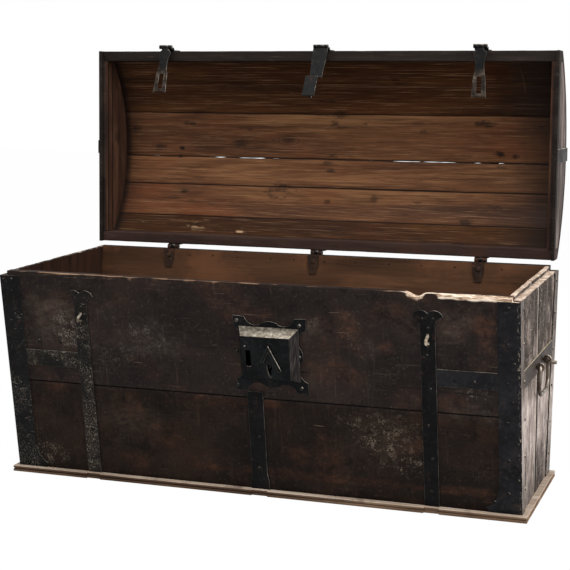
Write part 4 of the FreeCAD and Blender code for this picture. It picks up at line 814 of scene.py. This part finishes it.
# Painted highlight: the right staple is painted nearly white.
BRIGHT = iron("highlit_staple_iron", ((104, 90, 74), (172, 156, 136), (226, 214, 196), (250, 244, 232)), 0.15, 0.0,
              (0.3, 0.5), 0.35, lit=0.9)
BAIL = iron("handled_iron", ((34, 29, 26), (70, 60, 52), (120, 108, 97), (170, 158, 142)), 0.4, 0.1,
            (0.34, 0.56), 0.5, lit=0.9)
RIVET = iron("rivet_iron", ((26, 26, 26), (46, 45, 43), (78, 74, 70), (112, 107, 100)), 0.1, 0.0,
             (0.3, 0.5), 0.6, lit=0.6)
NAIL = iron("nail_iron", ((14, 14, 14), (22, 22, 22), (36, 35, 34), (58, 55, 52)), 0.15, 0.0, (0.4, 0.6),
            0.5, lit=0.35)
IRON_LEFT = iron("grained_iron", ((12, 12, 13), (18, 18, 19), (27, 27, 28), (42, 41, 40)), 0.25, 0.4,
                 (0.5, 0.75), 0.4, lit=0.3)
CORNER = iron("corner_iron", ((17, 17, 19), (27, 27, 29), (40, 39, 41), (58, 56, 55)), 0.15, 0.0,
              (0.42, 0.66), 0.5,
              lit=0.5, right=FLANGE, arris=0.6)
# Painted highlight: the right end band's faces that look up are painted almost wholly pale.
BAND = iron("end_band_iron", ((28, 23, 21), (52, 44, 40), (86, 75, 68), (128, 115, 105)), 0.2, 0.0,
            (0.5, 0.7), 0.2,
            lit=1.0, line=(206, 192, 164), floor=0.8, way=(0.3, 0, 0.95), pits=0.5)
DARK = ((11, 11, 11), (18, 18, 18), (29, 28, 28), (52, 48, 44))
HASP = iron("hasp_iron", DARK, 0.2, 0.0, (0.4, 0.6), 0.45, lit=0.6)
SIDE_HASP = iron("rubbed_hasp_iron", DARK, 0.3, 0.0, (0.4, 0.6), 0.4, lit=0.7,
                 low=(1.022, (20, 16, 14), (40, 33, 28), (86, 76, 65)))

# Boards of the body

CHIPS = (
    (-590, 0.8, 12), (-345, 1.0, 16), (-296, 1.7, 12), (-78, 1.2, 9), (205, 0.8, 12), (340, 0.8, 14),
    (406, 7, 13), (420, 8, 11), (478, 1.6, 16), (512, 2.8, 14), (548, 3.4, 24), (600, 2.2, 16),
    (628, 3.2, 12),
)
# These two chips go through the whole thickness of the board.
DEEP_CHIPS = (406, 420)


def front_rim(x, off):
    """How far the front board's top edge is worn down, at a place off its outer face."""
    lost = 0.5 + 0.35 * rough(x, 0, 0, 0.01) + 0.15 * rnd(x, 2, 0, 0.07)
    outer = smooth(off, -22, -1)
    for centre, depth, width in CHIPS:
        lost += depth * bell(x, centre, width) * (1.0 if centre in DEEP_CHIPS else outer)
    if x > 430:
        lost += outer * 2.2 * smooth(x, 452, 480) * (1 + 0.7 * rough(x, 5, 0, 0.05))
    return max(0.0, lost)


def seam_rim(x, off):
    return max(0.0, 0.5 + 0.5 * rough(x, 19, 0, 0.03))


def wall(name, place, z_high, z_low, seed, rim):
    """A board of the front or back wall; rim gives how far its top edge is worn down."""
    whole, foot = (RIM - z_high) / COS, (RIM - z_low) / COS
    high_rim = z_high > RIM - 1
    slant = BOARD * SIN / COS
    # The wear at the top edge fades out over this length below it.
    span = 60.0
    rings, worn = [], []
    notch = END - LIP
    side = [notch, notch + 0.4, notch + 9, END]
    for x in [-x for x in reversed(side)] + stations(0.5 - notch, notch - 0.5, 6.5) + side:
        # The ends of the upper board are cut down for the lid's dust lips.
        top = whole + (LEDGE / COS if high_rim and abs(x) > notch + 0.2 else 0.0)
        corners = [(foot, 0), (top, 0), (top + slant, -BOARD), (foot + slant, -BOARD)]
        ring = []
        wear = 0.38 + 0.28 * smooth(rough(x, 31, seed, 0.02), 0.0, 0.4) if x < 400 else 0.68
        for down, off in profile(corners, (16, 8, 12, 3), 1.6):
            lost = rim(x, off)
            depth = down - top
            if depth < span:
                down += lost * (1 - max(0.0, depth) / span)
            wave = rough(x * 0.6, down, seed * 7, 0.012) * 0.9 + rough(x, down * 4, seed, 0.03) * 0.25
            inward = wave * (1 if off > -12 else -1)
            edge = 1 - smooth(depth, 0.4, 2.6)
            if off > -20:
                edge = max(edge, (1 - smooth(depth - lost, 0, 2)) * min(1, lost / 3))
            on_face = 0.5 - BOARD < off < -0.5 or off in (0, -BOARD)
            off += (inward if on_face else inward * 0.6) - 0.5
            ring.append(place(x, down, min(off, 0)))
            worn.append(min(1.0, (wear + 0.5 * min(1.0, lost / 5.0)) * edge) if high_rim else 0.0)
        rings.append(ring)
    return loft(name, rings), worn


def end_plank(name, node, side, way, material, seed):
    """An upright end board, with its rebate for the lid's moulding and a worn lip."""
    rings, worn = [], []
    ledge = RIM - LEDGE
    for z in stations(FOOT, 520, 12) + [521.9, 522.1] + stations(524, RIM, 2.5):
        half = FOOT_HALF + (z - FOOT) * WALL_OUT / WALL_RISE - BOARD / COS
        y_low, y_high = (-half, -7.0) if way < 0 else (-5.0, half)
        outer = END if z < ledge else END - LIP
        inner = END - END_BOARD
        corners = [(inner, y_low), (outer, y_low), (outer, y_high), (inner, y_high)]
        ring = []
        for x, y in profile(corners, (3, 16, 3, 16), 1.0):
            is_outer = x > END - (14 if z < ledge else 23)
            wave = rough(y, z * 0.3, seed * 5, 0.03) * 0.6
            lost = 0.0
            if z >= 524:
                lost = max(0.0, 0.8 + 1.6 * rough(y, 3, seed + side, 0.03)) * smooth(z, 523, RIM)
                if side > 0 and is_outer:
                    lost += 2.5 * smooth(rough(y, 11, seed, 0.02), 0.0, 0.5) * smooth(z, 524, RIM)
            rim_edge = max(1 - smooth(abs(z - ledge), 0, 2.5) if is_outer else 0, smooth(z, 531, RIM))
            if z < ledge and is_outer:
                x -= 0.5 + max(0, wave) + (1.2 * smooth(z, 514, ledge) * (1 + rnd(y, 2, seed, 0.06)))
            elif not is_outer:
                x += 0.3 + abs(wave) * 0.4
            ring.append(Vector((side * x, y, z - lost)))
            seam = 1 - smooth(min(abs(y - y_low), abs(y - y_high)), 0, 3)
            worn.append(min(1.0, rim_edge * (0.8 if side > 0 else 0.35) + 0.2 * seam * (side > 0)))
        rings.append(ring)
    finish_piece(loft(name, rings, 30), "chest", material, (node,), seed, 0.0, worn)


for name, place, high, low, material, seed, rim in (
    ("front_plank_upper", front, RIM, 249.6, WOOD, 1.0, front_rim),
    ("front_plank_lower", front, 249.0, FOOT, WOOD, 2.4, seam_rim),
    ("back_plank_lower", back, 249.0, FOOT, WOOD_BACK, 5.2, seam_rim),
):
    obj, worn = wall(name, place, high, low, seed, rim)
    finish_piece(obj, "chest", material, (name.replace("plank", "board"),), seed, 0.0, worn)
for side, label, material in ((-1, "left", END_LEFT), (1, "right", END_RIGHT)):
    for way, word in ((-1, "front"), (1, "rear")):
        names = ["%s_end_%s_%s" % (label, kind, word) for kind in ("plank", "board")]
        end_plank(*names, side, way, material, 8.0 + side * 1.7 + way * 0.9)

# The lid

INNER_R, OUTER_R, CENTRE = 373.70, 392.18, LID_Z - VAULT_DROP
INNER_HALF, OUTER_HALF = 238.5, 266.5
# Where the seams between the staves lie, as shares of the inner half depth, from front to rear.
EDGES = [math.asin(share * INNER_HALF / INNER_R) for share in (0.746, 0.407, -0.113, -0.440, -0.801)]
SPRING = (math.asin(INNER_HALF / INNER_R), math.asin(OUTER_HALF / OUTER_R))
LID_X = 641.5
# Where the seam under the third stave is open: from x, to x and how widely.
SLITS = (
    (-346, -316, 1.0), (-270, -200, 1.0), (-172, -160, 0.6), (176, 250, 0.8), (262, 348, 1.0),
    (404, 414, 0.9), (441, 479, 1.1),
)
OPEN_SEAM = 2


def seam_gap(number, x):
    """Half the width of a stave seam, which is open to the light in places."""
    gap = 0.12 + 0.25 * max(0.0, rough(x, number * 5, 0, 0.02))
    if number == OPEN_SEAM:
        for low, high, wide in SLITS:
            opening = smooth(x, low - 5, low + 6) * smooth(x, high + 5, high - 6)
            gap += 0.8 * wide * opening * (0.8 + 0.9 * rnd(x, 4, 0, 0.05))
    return gap


def seam_wave(number, x):
    return 0.9 * rough(x, number * 3, 4, 0.006) + 0.25 * rnd(x, number, 9, 0.05)


SEAM_DARK = (-1.0, -0.35, -0.85, -1.0, -1.0, -1.0, -1.0)
# Each stave's tone: the negative ones darken the staves nearest the rails, as painted shade; the others are
# the staves' own tones.
STAVE_TONES_AND_SHADE = (-0.40, -0.36, 0.10, 0.22, 0.08, -0.44)
STEPS = 14
for count, tone in enumerate(STAVE_TONES_AND_SHADE):
    rings, worn = [], []
    for x in stations(-LID_X, LID_X, 7):
        ring = []
        # The angles of the stave's upper and lower edge, on its inner and its outer face.
        arcs = []
        for radius, spring in zip((INNER_R, OUTER_R), SPRING):
            high, low = spring, -spring
            if count:
                high = EDGES[count - 1] - (seam_gap(count - 1, x) + seam_wave(count - 1, x)) / radius
            if count < 5:
                low = EDGES[count] + (seam_gap(count, x) - seam_wave(count, x)) / radius
            arcs.append((high, low))
        for face, order in enumerate((range(STEPS + 1), range(STEPS, -1, -1))):
            for step in order:
                t = step / STEPS
                angle = arcs[face][0] * (1 - t) + arcs[face][1] * t
                at_edge = step in (0, STEPS)
                wave = rough(x * 0.5, step * 8, count + 9 * face, 0.02)
                if face:
                    r = OUTER_R - 0.3 - (0.9 if at_edge else 0) + min(0.0, wave * 0.8)
                    dark = 0.1
                else:
                    cup = 1.2 * (1 - (2 * t - 1) ** 2) - 0.6
                    r = INNER_R + 0.4 + (1.8 if at_edge else 0.0) + max(0.0, cup + wave * 0.5)
                    dark = SEAM_DARK[count + (step > 0)] if at_edge else 0.0
                ring.append(lid(x, -r * math.sin(angle), CENTRE + r * math.cos(angle)))
                worn.append(dark)
        rings.append(ring)
    obj = loft("lid_plank_%d" % (count + 1), rings, 40)
    finish_piece(obj, "lid", LID, ("lid_stave_%d" % (count + 1),), 20 + count * 2.3, tone, worn)


def lid_rail(name, node, side, material, seed):
    """The front (side -1) or rear rail of the lid, with a worn lower edge."""
    rings, worn = [], []
    high_z = LID_Z + 44
    for x in stations(-LID_X, LID_X, 7):
        low_z = LID_Z + max(0.0, 0.5 + 1.0 * rough(x, 3, seed, 0.012) + 0.5 * rnd(x, 8, seed, 0.08))
        if side < 0:
            low_z += 5.0 * smooth(x, -608, -LID_X) + 2.5 * bell(x, 372, 9) + 2.0 * bell(x, 462, 10)
        corners = [(INNER_HALF, low_z), (OUTER_HALF, low_z), (OUTER_HALF, high_z), (INNER_HALF, high_z)]
        ring = []
        for y, z in profile(corners, (5, 6, 4, 6), 1.8):
            wave = rough(x, z * 2, seed + y, 0.02) * 0.5
            y = y - (0.3 + max(0, wave)) * (1 if y > 252 else -1)
            ring.append(lid(x, side * y, z))
            worn.append(0.2 * (1 - smooth(z - low_z, 0, 2)) * smooth(rnd(x, 1, seed, 0.02), -0.1, 0.6))
        rings.append(ring)
    finish_piece(loft(name, rings, 35), "lid", material, (node,), seed, 0.0, worn)


lid_rail("lid_front_edge", "lid_front_rail", -1, RAIL, 41.0)
lid_rail("lid_rear_edge", "lid_rear_rail", 1, RAIL_REAR, 43.0)

# CAD nodes kept in sight: names, material, width of the rounded edge, its segments and its material.
for names, *look in (
    (("back_board_upper",), WOOD_BACK, 1.2),
    (("base_board_front", "base_board_rear"), BASE, 1.6, 3),
    (("lid_end_board_left", "lid_end_board_right"), LID_END, 1.4, 3),
    (("lid_end_moulding_left", "lid_end_moulding_right"), RAIL, 1.2, 3),
    (("lid_end_strap_left", "lid_end_strap_right"), END_IRON, 1.4, 2, EDGE),
    (["lid_strap_" + name for name in STRAPS], IRON, 0.8, 2, EDGE),
    (["hinge_leaf_" + name for name in STRAPS], RUSTY, 0.6),
    (["hasp_pin_" + name for name in STRAPS], HASP, 0.4),
    (("hasp_centre",), HASP, 0.9, 2, EDGE),
    (("hasp_left", "hasp_right"), SIDE_HASP, 0.9, 2, EDGE),
    (("corner_iron_rear_left",), IRON, 1.0, 2, EDGE),
    (("corner_iron_front_right", "corner_iron_rear_right"), CORNER, 1.0),
    (("corner_iron_front_left",), IRON_LEFT, 1.0),
    (("front_strap_centre", "front_strap_right", "end_band_left"), IRON, 0.9, 2, EDGE),
    (("front_band_right",), CORNER, 1.0, 2, EDGE),
    (("end_band_right",), BAND, 1.8),
    (("front_band_left", "front_strap_left"), CRUSTED, 0.9, 2, EDGE),
    (("lock_plate",), LOCK, 0.8, 2, EDGE),
    (("lock_case",), LOCK, 0.8),
    (("keyhole_hood",), LOCK, 1.2, 2, EDGE),
    (("lock_bolt", "lock_bolt_guides", "lock_spring", "lock_key_post"), LOCK, 0.3),
    (("handle_eyes_left", "handle_eyes_right", "handle_left", "handle_right"), BAIL, 0.0, 2, None, False),
):
    for name in names:
        dress(name, *look)

# Staples, nails and rivets

STAPLE = 112
for name, material in (("left", BAIL), ("right", BRIGHT)):
    x = STRAPS[name]
    corners = ((-13.75, -14), (-15.5, 29.5), (14, 30.5), (13.75, -14))
    course = bend([front(x, STAPLE + down, off) for down, off in corners], 11)
    points = []
    for a, b in zip(course, course[1:]):
        steps = max(1, int((b - a).length / 4))
        points += [a.lerp(b, i / steps) for i in range(steps)]
    points.append(course[-1])
    obj = tube("staple_loop_" + name, points, 3.7, 14, 0.10, 3.0 + x)
    finish_piece(obj, "chest", material, ("staple_" + name,), 3.0 + x)

# Each nail of the front is x, distance down the wall and head radius.
NAILS = []
for name, x in STRAPS.items():
    if name == "centre":
        NAILS += [(x - 3, 300, 4.6), (x + 4, 388, 4.4), (x - 2, 470, 4.6)]
    else:
        NAILS += [(x - 13, 62, 3.6), (x + 12, 61, 3.6), (x + 1, 84, 4.2), (x - 4, 150, 4.2)]
        NAILS += [(x + 3, 232, 4.6), (x - 4, 322, 4.4), (x + 4, 405, 4.6), (x - 1, 486, 4.4)]
for side in (-1, 1):
    for down in (26, 112, 205, 298, 392, 470):
        NAILS.append((side * 622 + 4 * rnd(down, side), down + 9 * rnd(down, 3, side), 4.4))
    NAILS.append((side * 588, 498, 4.2))
NAILS += [(636, 158, 5.0), (631, 249, 4.6)]
NAILS += [(-560, 179, 4.2), (-500, 181, 4.2), (545, 207, 4.4), (500, 206, 4.0)]
OUTWARD = front(0, 0, 1) - front(0, 0, 0)
domes("front_nails", [(front(x, down, 3.0), OUTWARD, radius) for x, down, radius in NAILS], NAIL, 1.0, 0.4)
CASE = 34.0
RIVETS = ((-24, 93, 5.2), (132, 98, 5.2), (131, 254, 5.0), (-30, 256, 5.0), (-28, 170, 4.4), (129, 176, 4.6))
spots = [(front(x, down, 2.5), OUTWARD, radius) for x, down, radius in RIVETS]
spots.append((front(4.0, 146, CASE), OUTWARD, 3.6))
domes("lock_rivets", spots, RIVET, 5.0, 0.75)
spots = []
for y, z in ((-232, 500), (-222, 420), (-205, 330), (-190, 240), (-178, 150), (-166, 70)):
    for side in (-1, 1):
        for way in (-1, 1):
            spots.append((Vector((side * 653.0, -way * y, z)), Vector((side, 0, 0)), 4.2))
domes("end_nails", spots, BAND, 9.0, 0.4)
spots = []
for x in (-356, -288, -214, -120, -52, 34, 120, 212, 300, 388, 512):
    z = RIM - 12 - 5 * abs(rnd(x, 2))
    y = RIM_HALF - BOARD / COS - (RIM - z) * SIN / COS - 0.3
    spots.append((Vector((x, y, z)), Vector((0, -COS, SIN)), 2.6))
domes("back_nails", spots, RUSTY, 13.0, 0.3)

# The raised rim of the keyhole, on the left and below.
points = [(58, 190), (56.6, 197), (58, 206), (60.5, 214), (63.5, 221), (67, 222), (69, 217)]
course = bend([front(x, down, CASE + 0.3) for x, down in points], 3)
finish_piece(tube("keyhole_rim", course, 1.5, 8, 0.08, 4.0), "chest", RIVET, seed=4.0)

# The stage

scene = bpy.context.scene
camera_data = bpy.data.cameras.new("camera")
camera = bpy.data.objects.new("camera", camera_data)
scene.collection.objects.link(camera)
camera.location = (1.20659, -3.43704, 1.05070)
camera.rotation_euler = (math.pi / 2 - 0.1254, 0, 0.3358)
camera_data.sensor_width = 36.0
camera_data.lens = 36.0 * 1457.58 / 570
camera_data.shift_y = -0.0702
scene.camera = camera


def rays(tree, first, *others):
    """One for a ray of any of these kinds, and zero for the rest."""
    path = wire(tree, "LightPath")
    total = path.outputs[first]
    for kind in others:
        total = wire(tree, "Math", {0: total, 1: path.outputs[kind]}, operation="MAXIMUM").outputs[0]
    return total


CAMERA, GLOSSY, TRANSMISSION = "Is Camera Ray", "Is Glossy Ray", "Is Transmission Ray"
floor_mesh = bpy.data.meshes.new("floor")
floor_mesh.from_pydata([(-12, -12, 0), (12, -12, 0), (12, 12, 0), (-12, 12, 0)], [], [(0, 1, 2, 3)])
floor = bpy.data.objects.new("floor", floor_mesh)
scene.collection.objects.link(floor)
paint = bpy.data.materials.new("pale_floor")
paint.use_nodes = True
tree = paint.node_tree
tree.nodes.clear()
diffuse = wire(tree, "BsdfDiffuse", {0: (0.86, 0.86, 0.86, 1)})
glow = wire(tree, "Emission", {1: 1.012})
share = wire(tree, "Math", {0: rays(tree, CAMERA, GLOSSY, TRANSMISSION), 1: 0.97}, operation="MULTIPLY")
blend = wire(tree, "MixShader", {0: share.outputs[0], 1: diffuse.outputs[0], 2: glow.outputs[0]})
wire(tree, "OutputMaterial", {0: blend.outputs[0]})
floor_mesh.materials.append(paint)

world = bpy.data.worlds.new("studio")
scene.world = world
world.use_nodes = True
tree = world.node_tree
tree.nodes.clear()
level = {"Value": rays(tree, CAMERA, TRANSMISSION, GLOSSY), "To Min": 0.30, "To Max": 1.0}
sky = wire(tree, "Background", {0: (1, 1, 1, 1), 1: wire(tree, "MapRange", level).outputs[0]})
wire(tree, "OutputWorld", {0: sky.outputs[0]})

for name, place, aim, extent, power in (
    ("top_light", (0.3, -0.9, 3.2), (0.1, 0.0, 0.4), (3.0, 2.0), 85),
    ("right_light", (3.6, -0.7, 1.7), (0.4, 0.0, 0.4), (1.8, 2.2), 105),
    ("front_light", (-1.4, -3.8, 1.9), (0.0, 0.0, 0.5), (2.4, 1.8), 30),
):
    data = bpy.data.lights.new(name, "AREA")
    data.shape = "RECTANGLE"
    data.size, data.size_y = extent
    data.energy = power
    obj = bpy.data.objects.new(name, data)
    obj.location = place
    obj.rotation_euler = (Vector(aim) - Vector(place)).to_track_quat("-Z", "Y").to_euler()
    scene.collection.objects.link(obj)

scene.view_settings.view_transform = "Standard"
